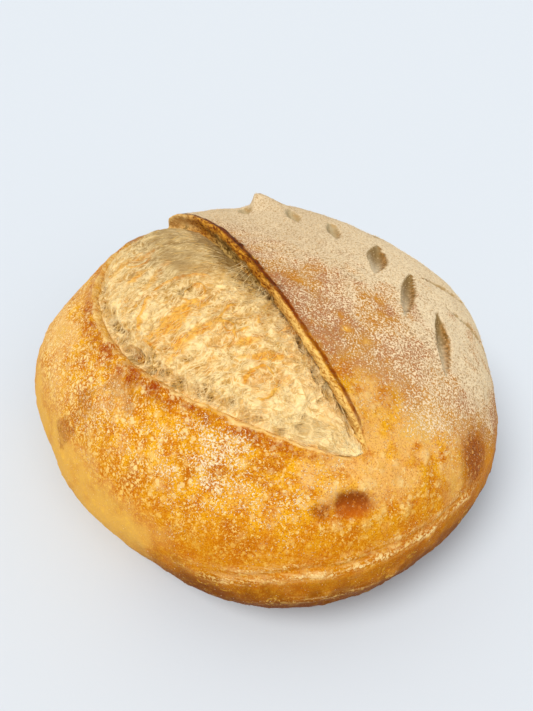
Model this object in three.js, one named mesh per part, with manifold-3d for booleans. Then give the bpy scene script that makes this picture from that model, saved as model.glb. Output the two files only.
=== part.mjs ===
// A round sourdough loaf, one solid, in millimetres, +Z up.
// The front of the loaf faces -Y. One long slash has opened into a lens of bare crumb,
// with a lifted lip of crust, the ear, along its right edge. Two rows of short leaf cuts
// run round the right and back of the dome like an ear of wheat.
import * as THREE from "three";
import { mergeVertices } from "three/addons/utils/BufferGeometryUtils.js";
import Module from "manifold-3d";

const DEG = Math.PI / 180;

// The plain loaf: an oval plan, a domed top and a tucked-under foot.
const PLAN_RADIUS = 112;
const OVAL_SHARE = 0.034;
const OVAL_TURN = -26 * DEG;
const CORNER_SHARE = 0.042;
const CORNER_TURN = 35 * DEG;
const WAIST_HEIGHT = 34;
const DOME_RISE = 72.5;
const DOME_POWER = 2.03;
const FOOT_DROP = 46;
const FOOT_POWER = 2.3;
const LEAN_RIGHT = 0.025;
const LEAN_BACK = 0.138;

// Hand-shaped unevenness: one swell every 18 degrees, from the right (+X) anticlockwise,
// each centred low on the front of the loaf and high on its back.
const SWELLS = [
  -2, 3.4, -0.6, 3, 0.8, 7.6, 2.9, 3, 3.1, -2.9,
  4.7, -0.4, 5.3, -5.6, -1.8, 4.2, -3.6, -2.4, 0.7, 6,
];
const SWELL_STEP = 18 * DEG;
const SWELL_WIDTH = 13 * DEG;
const SWELL_LATITUDE = 3 * DEG;
const SWELL_TILT = 38 * DEG;
const SWELL_FADE = [-0.8, -0.3];

// The slash runs straight, from near the front to the back left.
const SLASH_HEADING = 121 * DEG;
const SLASH_OFFSET = -12;
const SLASH_START = -90.6;
const SLASH_LENGTH = 192;
const OPENING_WIDTH = 62;
const OPENING_POWER = 0.6;
const OPENING_SKEW = 1.1;
const OPENING_LEAST_WIDTH = 11;
const OPENING_BULGE = 2.5;
const OPENING_BULGE_SHARE = 0.8;
const OPENING_BULGE_REACH = 0.12;

// The ear stands over the slash, lower towards its far end, with a pocket under it.
const EAR_RISE = 5.9;
const EAR_REACH = 13;
const EAR_SWAY = 1.9;
const EAR_FULL_FROM = 0.09;
const EAR_FULL_TO = 0.95;
const EAR_TAPER = 0.45;
const EAR_TAPER_FROM = 0.62;
const EAR_TAPER_TO = 0.95;
const EAR_BAND = 5;
const POCKET_DEPTH = 5;
const POCKET_SHARE = 0.16;

// The other edge of the opening is a low step, and the crumb sinks towards its far end.
const CRUMB_PUFF = 1.2;
const CRUMB_BACK_SINK = 2.8;
const CRUMB_BACK_FROM = 0.8;
const CRUMB_BACK_TO = 0.93;
const LIP_DROP = 1.9;
const LIP_BAND = 0.16;
const LIP_STEP = 0.004;
const LIP_RISE = 1.3;
const LIP_REACH = 6;

// A collapsed blister at the front, an oval with one axis level.
const DENT_CENTRE = new THREE.Vector3(31.8, -97.2, 62.8);
const DENT_LEVEL = new THREE.Vector3(0.98, 0.19, 0);
const DENT_UPRIGHT = new THREE.Vector3(-0.12, 0.62, 0.77);
const DENT_HALF_WIDTH = 10;
const DENT_HALF_HEIGHT = 6.3;
const DENT_DEPTH = 2.2;
const DENT_SLOPE = 0.55;

// The crease above the foot runs from the front, where it is lower, round to the right.
const CREASE_HEIGHT = 45;
const CREASE_FRONT_DROP = 7;
const CREASE_DROP_FROM = -78 * DEG;
const CREASE_DROP_TO = -98 * DEG;
const CREASE_FROM = -108 * DEG;
const CREASE_TO = -34 * DEG;
const CREASE_MOUTH = 8;
const CREASE_MOUTH_HEIGHT = 11;
const CREASE_FLOOR = 0.3;
const CREASE_DEPTH = 1.1;
const CREASE_STATIONS = 22;

// Leaf cuts, from the back to the front: where their middles are in plan, then heading in
// degrees, length and width.
const INNER_LEAVES = {
  middles: [[-16, 61], [9.5, 54], [30, 42], [50, 20], [61.8, -3], [75, -25]],
  headings: [-74, -76, -86, -100, -104, -94],
  lengths: [14, 20, 24, 34, 38, 36],
  widths: [7, 7, 7, 10, 7, 8.5],
};
const OUTER_LEAVES = {
  middles: [[2, 88], [34, 76], [61, 59], [88, 20], [98.5, 0.5]],
  headings: [75, 50, 32, 14, -2],
  lengths: [22, 24, 24, 32, 34],
  widths: [5, 5, 5, 5, 5],
};
const LEAF_DEPTH = 3.4;
const LEAF_OVERCUT = 3;
const LEAF_STATIONS = 8;

// The crust flap between the two rows at the back is lifted to a point.
const FLAP_START = [-11.4, 71.5];
const FLAP_LENGTH = 25;
const FLAP_DRIFT = -5;
const FLAP_RISE = 8;
const FLAP_FRONT = 13;
const FLAP_BACK = 5;
const FLAP_ROOT = -2.5;
const FLAP_STATIONS = 6;

const ROWS = 52;
const CRUMB_COLUMNS = 11;
const CRUST_COLUMNS = 46;
const TABLE_CUT_DEPTH = 40;
const CRUST_COLOUR = "#d9a05a";

const along = new THREE.Vector3(Math.cos(SLASH_HEADING), Math.sin(SLASH_HEADING), 0);
const across = new THREE.Vector3(Math.sin(SLASH_HEADING), -Math.cos(SLASH_HEADING), 0);
const up = new THREE.Vector3(0, 0, 1);
const waist = new THREE.Vector3(0, 0, WAIST_HEIGHT);
const slashCentre = waist.clone().addScaledVector(across, SLASH_OFFSET);

const smooth = (from, to, x) => {
  const t = Math.min(1, Math.max(0, (x - from) / (to - from)));
  return t * t * (3 - 2 * t);
};
const mix = (pair, t) => pair[0] + (pair[1] - pair[0]) * t;
const bell = (x) => Math.exp(-0.5 * x * x);

const swellDirections = SWELLS.map((height, i) => {
  const azimuth = i * SWELL_STEP;
  const latitude = SWELL_LATITUDE + SWELL_TILT * Math.sin(azimuth);
  return new THREE.Vector3(
    Math.cos(latitude) * Math.cos(azimuth),
    Math.cos(latitude) * Math.sin(azimuth),
    Math.sin(latitude),
  );
});

// Distance from the waist centre to the plain crust in a direction.
function plainRadius(direction) {
  const azimuth = Math.atan2(direction.y, direction.x);
  const oval = OVAL_SHARE * Math.cos(2 * (azimuth - OVAL_TURN));
  const corner = CORNER_SHARE * Math.cos(3 * (azimuth - CORNER_TURN));
  const plan = PLAN_RADIUS * (1 + oval + corner);
  const level = Math.hypot(direction.x, direction.y) / plan;
  const rise = direction.z >= 0 ? direction.z / DOME_RISE : -direction.z / FOOT_DROP;
  const power = direction.z >= 0 ? DOME_POWER : FOOT_POWER;
  let swell = 0;
  swellDirections.forEach((centre, i) => {
    const angle = Math.acos(Math.min(1, Math.max(-1, direction.dot(centre))));
    swell += SWELLS[i] * bell(angle / SWELL_WIDTH);
  });
  const plain = Math.pow(Math.pow(level, power) + Math.pow(rise, power), -1 / power);
  return plain + swell * smooth(SWELL_FADE[0], SWELL_FADE[1], direction.z);
}

function isInside(point) {
  const offset = point.clone().sub(waist);
  const height = offset.z;
  offset.x -= LEAN_RIGHT * height;
  offset.y -= LEAN_BACK * height;
  const distance = offset.length();
  return distance < plainRadius(offset.divideScalar(distance));
}

// Where a ray from a point inside meets the plain crust.
function castToCrust(origin, direction) {
  let near = 0;
  let far = 200;
  const point = new THREE.Vector3();
  for (let step = 0; step < 26; step += 1) {
    const middle = (near + far) / 2;
    point.copy(origin).addScaledVector(direction, middle);
    if (isInside(point)) near = middle;
    else far = middle;
  }
  return point;
}

// Direction from the slash centre: row angle from the front end of the slash,
// turn from the right over the top.
function slashDirection(row, turn) {
  return new THREE.Vector3()
    .addScaledVector(along, -Math.cos(row))
    .addScaledVector(across, Math.sin(row) * Math.cos(turn))
    .addScaledVector(up, Math.sin(row) * Math.sin(turn));
}

const shareAlong = (point) => (point.dot(along) - SLASH_START) / SLASH_LENGTH;
const offsetAcross = (point) => point.dot(across) - SLASH_OFFSET;

function openingWidth(share) {
  if (share <= 0 || share >= 1) return 0;
  const swing = Math.sin(Math.PI * Math.pow(share, OPENING_SKEW));
  const bulge = OPENING_BULGE * bell((share - OPENING_BULGE_SHARE) / OPENING_BULGE_REACH);
  return OPENING_WIDTH * Math.pow(swing, OPENING_POWER) + bulge * swing;
}

const earAmount = (share) => smooth(0, EAR_FULL_FROM, share) * smooth(1, EAR_FULL_TO, share);
const earTaper = (share) => 1 - EAR_TAPER * smooth(EAR_TAPER_FROM, EAR_TAPER_TO, share);

// Distance from the middle of the dent, 1 at its edge.
function dentDistance(point) {
  const away = point.clone().sub(DENT_CENTRE);
  return Math.hypot(away.dot(DENT_LEVEL) / DENT_HALF_WIDTH, away.dot(DENT_UPRIGHT) / DENT_HALF_HEIGHT);
}

// How far the surface stands above the plain crust at a point on it.
function relief(point) {
  const share = shareAlong(point);
  const offset = offsetAcross(point);
  const width = openingWidth(share);
  const ear = earAmount(share);
  const onTop = smooth(0, 20, point.z - WAIST_HEIGHT);
  let height = 0;
  if (offset >= 0) {
    height += EAR_RISE * ear * earTaper(share) * Math.exp(-offset / EAR_REACH);
  } else if (offset > -width) {
    const depthShare = -offset / width;
    const low = smooth(0, 20, width);
    height -= POCKET_DEPTH * ear * Math.exp(-depthShare / POCKET_SHARE);
    height += CRUMB_PUFF * Math.sin(Math.PI * depthShare) * low;
    height -= CRUMB_BACK_SINK * smooth(CRUMB_BACK_FROM, CRUMB_BACK_TO, share) * low;
    height -= LIP_DROP * smooth(1 - LIP_BAND, 1, depthShare) * low;
  } else {
    height += LIP_RISE * smooth(0, 20, width) * Math.exp((offset + width) / LIP_REACH);
  }
  const near = point.distanceTo(DENT_CENTRE) < 2 * DENT_HALF_WIDTH;
  const dent = near ? DENT_DEPTH * bell(dentDistance(point) / DENT_SLOPE) : 0;
  return height * onTop - dent;
}

function crustPoint(direction) {
  const point = castToCrust(slashCentre, direction);
  return point.addScaledVector(direction, relief(point));
}

// The turn over the top at which the plain crust is a given distance right of the slash.
function turnAtOffset(row, offset) {
  let near = 0;
  let far = Math.PI;
  for (let step = 0; step < 24; step += 1) {
    const middle = (near + far) / 2;
    const point = castToCrust(slashCentre, slashDirection(row, middle));
    if (offsetAcross(point) > offset) near = middle;
    else far = middle;
  }
  return near;
}

// Section of the ear from its crest, down its torn face, through the pocket and out on
// the crumb: across (to the right) and above the plain crust.
function earSection() {
  const crest = [0.2, EAR_RISE + 0.6];
  const nose = [-1.1, EAR_RISE - 0.2];
  const faceTop = [-1.3, EAR_RISE - 1.6];
  const faceFoot = [0.4, 1];
  const pocketRoof = [4, 0];
  const pocketBack = [6.2, -2];
  const pocketFloor = [4.4, -POCKET_DEPTH + 0.6];
  const crumbEdge = [0, -POCKET_DEPTH - 0.2];
  return [crest, nose, faceTop, faceFoot, pocketRoof, pocketBack, pocketFloor, crumbEdge];
}

function rowPoints(row) {
  const points = [];
  const ridgeDirection = slashDirection(row, Math.PI / 2);
  const ridge = castToCrust(slashCentre, ridgeDirection);
  const share = shareAlong(ridge);
  const amount = earAmount(share);
  const taper = earTaper(share);
  const sway = EAR_SWAY * Math.sin(-2 * Math.PI * share);
  const band = EAR_BAND * Math.sin(row);
  const section = earSection();
  section.forEach(([right, above], i) => {
    const evenly = band * (1 - (2 * (i + 1)) / (section.length + 1));
    const point = ridge.clone();
    point.addScaledVector(across, mix([evenly, right + sway], amount));
    point.addScaledVector(ridgeDirection, above * amount * (above > 0 ? taper : 1));
    points.push(point);
  });
  const width = openingWidth(share);
  const least = OPENING_LEAST_WIDTH * Math.sin(row);
  const lipTurn = turnAtOffset(row, -Math.hypot(width, least));
  const crumbTurn = turnAtOffset(row, -band);
  for (let i = 0; i < CRUMB_COLUMNS; i += 1) {
    const turn = mix([crumbTurn, lipTurn - LIP_STEP], evenOut(i / (CRUMB_COLUMNS - 1)));
    points.push(crustPoint(slashDirection(row, turn)));
  }
  const lastTurn = turnAtOffset(row, band) + 2 * Math.PI;
  for (let i = 0; i < CRUST_COLUMNS; i += 1) {
    const turn = mix([lipTurn + LIP_STEP, lastTurn], i / (CRUST_COLUMNS - 1));
    points.push(crustPoint(slashDirection(row, turn)));
  }
  return points;
}

// Packs columns a little closer at both ends.
const evenOut = (t) => t - 0.1 * Math.sin(2 * Math.PI * t);

// The whole crust as rows of points round the slash axis, closed by a pole at each end.
function loafGeometry() {
  const rows = [];
  for (let i = 1; i < ROWS; i += 1) {
    rows.push(rowPoints((Math.PI * i) / ROWS));
  }
  const columns = rows[0].length;
  const front = crustPoint(along.clone().negate());
  const back = crustPoint(along.clone());
  const positions = rows.flat().concat(front, back);
  const frontIndex = positions.length - 2;
  const backIndex = positions.length - 1;
  const faces = [];
  for (let j = 0; j < columns; j += 1) {
    const next = (j + 1) % columns;
    faces.push(frontIndex, next, j);
    for (let i = 0; i < rows.length - 1; i += 1) {
      const a = i * columns + j;
      const b = i * columns + next;
      faces.push(a, b, a + columns);
      faces.push(b, b + columns, a + columns);
    }
    const last = (rows.length - 1) * columns;
    faces.push(backIndex, last + j, last + next);
  }
  return indexed(positions, faces);
}

function indexed(positions, faces) {
  const geometry = new THREE.BufferGeometry();
  geometry.setFromPoints(positions);
  geometry.setIndex(faces);
  return geometry;
}

// A closed body through a list of rings of equal length, with a flat fan at each end.
function loftGeometry(rings) {
  const count = rings[0].length;
  const positions = rings.flat();
  const faces = [];
  for (let i = 0; i < rings.length - 1; i += 1) {
    for (let j = 0; j < count; j += 1) {
      const a = i * count + j;
      const b = i * count + ((j + 1) % count);
      faces.push(a, b, a + count);
      faces.push(b, b + count, a + count);
    }
  }
  const last = (rings.length - 1) * count;
  for (let j = 1; j < count - 1; j += 1) {
    faces.push(0, j + 1, j);
    faces.push(last, last + j, last + j + 1);
  }
  return indexed(positions, faces);
}

// Frame on the plain crust above a plan position: point, outward normal.
function crustFrame(x, y) {
  const origin = new THREE.Vector3(x, y, WAIST_HEIGHT);
  const point = castToCrust(origin, up);
  const dx = castToCrust(origin.clone().add(new THREE.Vector3(1, 0, 0)), up).sub(point);
  const dy = castToCrust(origin.clone().add(new THREE.Vector3(0, 1, 0)), up).sub(point);
  return { point, normal: dx.cross(dy).normalize() };
}

// A boat-shaped cutter with a steep wall on the side that faces the back right.
function leafCutter(x, y, heading, length, width) {
  const forward = new THREE.Vector3(Math.cos(heading), Math.sin(heading), 0);
  const rings = [];
  for (let i = 0; i <= LEAF_STATIONS; i += 1) {
    const share = i / LEAF_STATIONS;
    const size = Math.max(0.06, Math.pow(Math.sin(Math.PI * share), 0.8));
    const step = (share - 0.5) * length;
    const frame = crustFrame(x + step * forward.x, y + step * forward.y);
    const side = forward.clone().cross(frame.normal).normalize();
    const steep = side.x + side.y > 0 ? 1 : -1;
    const corner = (sideways, above) => frame.point
      .clone()
      .addScaledVector(side, sideways * width * size)
      .addScaledVector(frame.normal, above);
    rings.push([
      corner(-0.62, LEAF_OVERCUT),
      corner(-0.5, 0),
      corner(0.22 * steep - 0.04, -LEAF_DEPTH * size),
      corner(0.34 * steep, -LEAF_DEPTH * size),
      corner(0.5, 0),
      corner(0.62, LEAF_OVERCUT),
    ]);
  }
  return loftGeometry(rings);
}

function leafRow(row) {
  return row.middles.map(([x, y], i) =>
    leafCutter(x, y, row.headings[i] * DEG, row.lengths[i], row.widths[i]));
}

// The wedge ring that presses the crease in above the foot.
function creaseCutter() {
  const rings = [];
  for (let i = 0; i <= CREASE_STATIONS; i += 1) {
    const share = i / CREASE_STATIONS;
    const azimuth = mix([CREASE_FROM, CREASE_TO], share);
    const size = Math.max(0.1, Math.sin(Math.PI * share));
    const outward = new THREE.Vector3(Math.cos(azimuth), Math.sin(azimuth), 0);
    const drop = CREASE_FRONT_DROP * smooth(CREASE_DROP_FROM, CREASE_DROP_TO, azimuth);
    const point = castToCrust(new THREE.Vector3(0, 0, CREASE_HEIGHT - drop), outward);
    const corner = (out, above) => point
      .clone()
      .addScaledVector(outward, out)
      .addScaledVector(up, above);
    rings.push([
      corner(CREASE_MOUTH, CREASE_MOUTH_HEIGHT),
      corner(-CREASE_DEPTH * size, CREASE_FLOOR),
      corner(-CREASE_DEPTH * size, -CREASE_FLOOR),
      corner(CREASE_MOUTH, -CREASE_MOUTH_HEIGHT),
    ]);
  }
  return loftGeometry(rings);
}

// The lifted, pointed flap of crust at the back of the dome.
function flapGeometry() {
  const backward = new THREE.Vector3(0, 1, 0);
  const rings = [];
  for (let i = 0; i <= FLAP_STATIONS; i += 1) {
    const share = i / FLAP_STATIONS;
    const frame = crustFrame(FLAP_START[0] + FLAP_LENGTH * share, FLAP_START[1] + FLAP_DRIFT * share);
    const rise = FLAP_RISE * (1 - smooth(-0.3, 1, share)) - 0.4;
    const corner = (back, above) => frame.point
      .clone()
      .addScaledVector(backward, back)
      .addScaledVector(frame.normal, above);
    rings.push([
      corner(-FLAP_FRONT, FLAP_ROOT),
      corner(-0.4 * FLAP_FRONT, 0.6 * rise),
      corner(0, rise),
      corner(0.5 * FLAP_BACK, 0.7 * rise),
      corner(FLAP_BACK, FLAP_ROOT),
    ]);
  }
  return loftGeometry(rings);
}

const wasm = await Module();
wasm.setup();

function solidOf(geometry) {
  const bare = geometry.clone();
  bare.deleteAttribute("normal");
  bare.deleteAttribute("uv");
  const merged = mergeVertices(bare, 1e-4);
  const mesh = new wasm.Mesh({
    numProp: 3,
    vertProperties: new Float32Array(merged.attributes.position.array),
    triVerts: new Uint32Array(merged.index.array),
  });
  const solid = new wasm.Manifold(mesh);
  if (solid.volume() > 0) return solid;
  const turned = mesh.triVerts;
  for (let i = 0; i < turned.length; i += 3) {
    [turned[i], turned[i + 1]] = [turned[i + 1], turned[i]];
  }
  return new wasm.Manifold(
    new wasm.Mesh({ numProp: 3, vertProperties: mesh.vertProperties, triVerts: turned }),
  );
}

function meshOf(solid) {
  const mesh = solid.getMesh();
  const geometry = new THREE.BufferGeometry();
  geometry.setAttribute("position", new THREE.BufferAttribute(mesh.vertProperties, 3));
  geometry.setIndex(new THREE.BufferAttribute(mesh.triVerts, 1));
  const flat = geometry.toNonIndexed();
  flat.computeVertexNormals();
  return flat;
}

function buildLoaf() {
  let solid = solidOf(loafGeometry());
  solid = solid.add(solidOf(flapGeometry()));
  for (const cutter of [...leafRow(INNER_LEAVES), ...leafRow(OUTER_LEAVES), creaseCutter()]) {
    solid = solid.subtract(solidOf(cutter));
  }
  const table = new THREE.BoxGeometry(4 * PLAN_RADIUS, 4 * PLAN_RADIUS, TABLE_CUT_DEPTH);
  table.translate(0, 0, -TABLE_CUT_DEPTH / 2);
  return meshOf(solid.subtract(solidOf(table)));
}

const geometry = buildLoaf();
geometry.computeBoundingBox();
const middle = geometry.boundingBox.getCenter(new THREE.Vector3());
geometry.translate(-middle.x, -middle.y, -geometry.boundingBox.min.z);

const loaf = new THREE.Mesh(
  geometry,
  new THREE.MeshStandardMaterial({ color: CRUST_COLOUR, roughness: 0.8 }),
);
loaf.name = "loaf";

const group = new THREE.Group();
group.add(loaf);
export default group;
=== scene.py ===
"""Looks of the round sourdough loaf: crust with one open slash, torn crumb, flour grains.

Lengths are in millimetres until a mesh is made; meshes, camera and lights are in metres.
The loaf's front faces -Y, +Z is up, and one long slash runs from the front to the back left.
"""

import math

import bpy
import numpy as np
from mathutils import Matrix, Vector


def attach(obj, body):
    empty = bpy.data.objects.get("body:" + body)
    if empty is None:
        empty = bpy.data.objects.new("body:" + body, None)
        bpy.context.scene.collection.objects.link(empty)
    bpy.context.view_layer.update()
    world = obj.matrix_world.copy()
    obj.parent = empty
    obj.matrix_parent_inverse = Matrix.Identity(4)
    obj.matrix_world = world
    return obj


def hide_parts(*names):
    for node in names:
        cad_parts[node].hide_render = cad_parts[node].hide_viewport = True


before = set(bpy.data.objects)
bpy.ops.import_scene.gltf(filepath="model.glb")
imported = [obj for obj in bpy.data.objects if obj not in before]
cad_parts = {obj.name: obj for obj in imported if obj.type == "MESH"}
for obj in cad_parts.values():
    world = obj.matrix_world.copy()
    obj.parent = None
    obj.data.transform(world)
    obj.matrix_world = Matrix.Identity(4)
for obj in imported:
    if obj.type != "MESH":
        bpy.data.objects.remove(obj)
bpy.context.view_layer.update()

MM = 0.001
# From the middle that the shapes below are built round to the middle of the part's frame.
SHIFT = np.array((3.219, 4.429, 0.0))
UP = np.array((0.0, 0.0, 1.0))

# The plain loaf.
PLAN_RADIUS = 112.0
OVAL_SHARE, OVAL_TURN = 0.034, math.radians(-26)
CORNER_SHARE, CORNER_TURN = 0.042, math.radians(35)
WAIST = np.array((0.0, 0.0, 34.0))
DOME_RISE, DOME_POWER = 72.5, 2.03
FOOT_DROP, FOOT_POWER = 46.0, 2.3
LEAN_RIGHT, LEAN_BACK = 0.025, 0.138
SWELLS = (
    -2, 3.4, -0.6, 3, 0.8, 7.6, 2.9, 3, 3.1, -2.9,
    4.7, -0.4, 5.3, -5.6, -1.8, 4.2, -3.6, -2.4, 0.7, 6,
)
SWELL_STEP, SWELL_WIDTH = math.radians(18), math.radians(13)
SWELL_LATITUDE, SWELL_TILT = math.radians(3), math.radians(38)
SWELL_FADE = (-0.8, -0.3)

# The slash and its opening.
HEADING = math.radians(121)
ALONG = np.array((math.cos(HEADING), math.sin(HEADING), 0.0))
ACROSS = np.array((math.sin(HEADING), -math.cos(HEADING), 0.0))
SLASH_OFFSET = -12.0
SLASH_CENTRE = WAIST + ACROSS * SLASH_OFFSET
SLASH_START, SLASH_LENGTH = -90.6, 192.0
OPENING_WIDTH, OPENING_POWER, OPENING_SKEW = 62.0, 0.6, 1.1
OPENING_LEAST_WIDTH = 11.0
OPENING_BULGE, OPENING_BULGE_SHARE, OPENING_BULGE_REACH = 2.5, 0.80, 0.12

# The ear on the right of the opening: its section is across and above the plain crust.
EAR_RISE, EAR_REACH, EAR_SWAY = 5.9, 13.0, 1.9
EAR_FULL_FROM, EAR_FULL_TO = 0.09, 0.95
EAR_TAPER, EAR_TAPER_FROM, EAR_TAPER_TO = 0.45, 0.62, 0.95
EAR_BAND = 5.0
POCKET_DEPTH, POCKET_SHARE = 5.0, 0.16
EAR_SECTION = (
    (2.8, EAR_RISE - 1.0), (1.3, EAR_RISE - 0.2), (0.3, EAR_RISE + 0.3), (-0.6, EAR_RISE + 0.2),
    (-1.2, EAR_RISE - 0.5), (-1.3, EAR_RISE - 1.6), (-0.9, EAR_RISE - 3.0), (0.0, 1.2),
    (1.2, -1.0), (2.2, -3.0), (2.0, -4.6), (0.8, -5.5), (-0.8, -5.8),
)
EAR_COLUMNS = 34
EAR_CREST_COLUMN = 3.4
EAR_FACE_COLUMNS = (5.0, 7.0)
# A dark hole painted under the hood at the far end of the ear, where there is only shade.
HOOD_HOLE, HOOD_HOLE_SIZE = np.array((-48.9, 59.6, 91.0)), (4.5, 4.5, 2.2)

# The left lip of the opening, and the crumb between.
CRUMB_PUFF, LIP_DROP, LIP_BAND = 1.2, 1.9, 0.16
LIP_RISE, LIP_REACH = 1.3, 6.0
CRUMB_SINK, CRUMB_BACK_SINK = 3.2, 2.8

# The collapsed blister at the front, with its directions along and up the crust, and the
# crease above the foot.
DENT_CENTRE, DENT_DEPTH = np.array((31.8, -97.2, 62.8)), 2.2
DENT_LEVEL, DENT_UPRIGHT = np.array((0.955, 0.19, -0.22)), np.array((0.04, 0.665, 0.746))
DENT_HALF_WIDTH, DENT_HALF_HEIGHT = 9.0, 6.1
CREASE_HEIGHT, CREASE_FRONT_DROP, CREASE_DEPTH = 45.0, 7.0, 0.6

# Leaf cuts: plan positions of their middles, headings in degrees, lengths and widths.
INNER_LEAVES = {
    "middles": ((-16, 61), (9.5, 54), (30, 42), (50, 20), (61.8, -3), (75, -25)),
    "headings": (-74, -76, -86, -100, -104, -94),
    "lengths": (14, 20, 24, 34, 38, 36),
    "widths": (7, 7, 7, 10, 7, 8.5),
}
OUTER_LEAVES = {
    "middles": ((2, 88), (34, 76), (61, 59), (88, 20), (98.5, 0.5)),
    "headings": (75, 50, 32, 14, -2),
    "lengths": (22, 24, 24, 32, 34),
    "widths": (5, 5, 5, 4.5, 4.5),
}
LEAF_DEPTH, LEAF_STATIONS = 3.6, 9
# The flap of crust at the back: where it starts, how long it is and how far it slants.
FLAP_START, FLAP_LENGTH, FLAP_DRIFT = np.array((-11.4, 71.5)), 25.0, -5.0
FLAP_RISE, FLAP_FRONT, FLAP_BACK, FLAP_HOLLOW = 8.0, 13.0, 5.0, 1.8

# Grids of the crust and of the crumb: degrees between rows over the front and over the back,
# and counts. The crust's columns are the ear's fold, then the floor of the opening, and from
# FIRST_OUTER the crust outside it.
ROW_STEPS = (0.62, 0.92)
CRUMB_COLUMNS = 18
CRUST_COLUMNS = 336
CRUMB_ROWS = 560
CRUMB_ACROSS = 172
CRUMB_THICKNESS = 4.0
CRUMB_SHARES = (0.004, 0.985)
FIRST_OUTER = EAR_COLUMNS + CRUMB_COLUMNS


def smooth(start, end, x):
    t = np.clip((x - start) / (end - start), 0, 1)
    return t * t * (3 - 2 * t)


def bell(x):
    return np.exp(-0.5 * x * x)


def unit(v):
    return v / np.linalg.norm(v, axis=-1, keepdims=True)


def mixed(pair, t):
    return pair[0] + (pair[1] - pair[0]) * t


# ---- noise ----


class Noise:
    """Seeded gradient noise, about -1 to 1, with a grid step of 1."""

    def __init__(self, seed):
        random = np.random.default_rng(seed)
        self.order = random.permutation(256)
        self.slopes = unit(random.normal(size=(256, 3)))

    def __call__(self, points):
        base = np.floor(points).astype(int)
        local = points - base
        blend = local**3 * (local * (local * 6 - 15) + 10)
        total = 0.0
        for corner in np.ndindex(2, 2, 2):
            cell = base + corner
            index = 0
            for axis in range(3):
                index = self.order[(index + cell[..., axis]) & 255]
            rise = ((local - corner) * self.slopes[index]).sum(-1)
            weight = np.prod(np.where(corner, blend, 1 - blend), axis=-1)
            total = total + weight * rise
        return total * 1.6


def fractal(points, size, octaves, seed):
    total = 0.0
    for octave in range(octaves):
        total = total + Noise(seed + 17 * octave)(points / size * 2**octave) / 2**octave
    return total


def scattered(points, size, seed):
    """Distances in millimetres to the nearest and second nearest of points scattered one to
    a cube of that size, and a random number of the nearest."""
    random = np.random.default_rng(seed)
    order = random.permutation(256)
    jitter = random.uniform(0.05, 0.95, (256, 3))
    marks = random.uniform(0, 1, 256)
    scaled = points / size
    base = np.floor(scaled).astype(int)
    first = np.full(points.shape[:-1], 9.0)
    second = first.copy()
    mark = np.zeros_like(first)
    for step in np.ndindex(3, 3, 3):
        cell = base + np.array(step) - 1
        index = 0
        for axis in range(3):
            index = order[(index + cell[..., axis]) & 255]
        distance = np.linalg.norm(scaled - cell - jitter[index], axis=-1)
        nearer = distance < first
        second = np.where(nearer, first, np.minimum(second, distance))
        mark = np.where(nearer, marks[index], mark)
        first = np.where(nearer, distance, first)
    return first * size, second * size, mark


# ---- the plain loaf ----


def swell_directions():
    azimuth = np.arange(len(SWELLS)) * SWELL_STEP
    latitude = SWELL_LATITUDE + SWELL_TILT * np.sin(azimuth)
    level = np.cos(latitude)
    return np.stack((level * np.cos(azimuth), level * np.sin(azimuth), np.sin(latitude)), -1)


SWELL_DIRECTIONS = swell_directions()


def plain_radius(direction):
    x, y, z = np.moveaxis(direction, -1, 0)
    azimuth = np.arctan2(y, x)
    oval = OVAL_SHARE * np.cos(2 * (azimuth - OVAL_TURN))
    corner = CORNER_SHARE * np.cos(3 * (azimuth - CORNER_TURN))
    level = np.hypot(x, y) / (PLAN_RADIUS * (1 + oval + corner))
    rise = np.where(z >= 0, z / DOME_RISE, -z / FOOT_DROP)
    power = np.where(z >= 0, DOME_POWER, FOOT_POWER)
    angle = np.arccos(np.clip(direction @ SWELL_DIRECTIONS.T, -1, 1))
    swell = (np.array(SWELLS) * bell(angle / SWELL_WIDTH)).sum(-1)
    plain = (level**power + rise**power) ** (-1 / power)
    return plain + swell * smooth(*SWELL_FADE, z)


def inside(point):
    offset = point - WAIST
    height = offset[..., 2]
    offset[..., 0] -= LEAN_RIGHT * height
    offset[..., 1] -= LEAN_BACK * height
    distance = np.linalg.norm(offset, axis=-1)
    return distance < plain_radius(offset / distance[..., None])


def cast(origin, direction, steps=18):
    """Where rays from points inside meet the plain crust."""
    near = np.zeros(direction.shape[:-1])
    far = near + 200
    for _ in range(steps):
        middle = (near + far) / 2
        within = inside(origin + direction * middle[..., None])
        near = np.where(within, middle, near)
        far = np.where(within, far, middle)
    return origin + direction * near[..., None]


def slash_direction(row, turn):
    """Row angle from the front end of the slash; turn from the right over the top."""
    row, turn = np.broadcast_arrays(row, turn)
    return (
        -np.cos(row)[..., None] * ALONG
        + (np.sin(row) * np.cos(turn))[..., None] * ACROSS
        + (np.sin(row) * np.sin(turn))[..., None] * UP
    )


def slash_share(point):
    return (point @ ALONG - SLASH_START) / SLASH_LENGTH


def slash_offset(point):
    return point @ ACROSS - SLASH_OFFSET


def turn_where(row, edge):
    """The turn over the top at which the plain crust crosses an edge, which a function gives
    as a distance right of the slash."""
    near, far = np.zeros_like(row), np.full_like(row, math.pi)
    for _ in range(16):
        middle = (near + far) / 2
        point = cast(SLASH_CENTRE, slash_direction(row, middle))
        right = slash_offset(point) > edge(point)
        near = np.where(right, middle, near)
        far = np.where(right, far, middle)
    return near


def opening_width(share):
    within = (share > 0) & (share < 1)
    swing = np.sin(np.pi * np.clip(share, 0, 1) ** OPENING_SKEW)
    width = OPENING_WIDTH * np.clip(swing, 0, 1) ** OPENING_POWER
    bulge = OPENING_BULGE * bell((share - OPENING_BULGE_SHARE) / OPENING_BULGE_REACH)
    return np.where(within, width + bulge * np.clip(swing, 0, 1), 0)


def width_at(point):
    return opening_width(slash_share(point))


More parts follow.
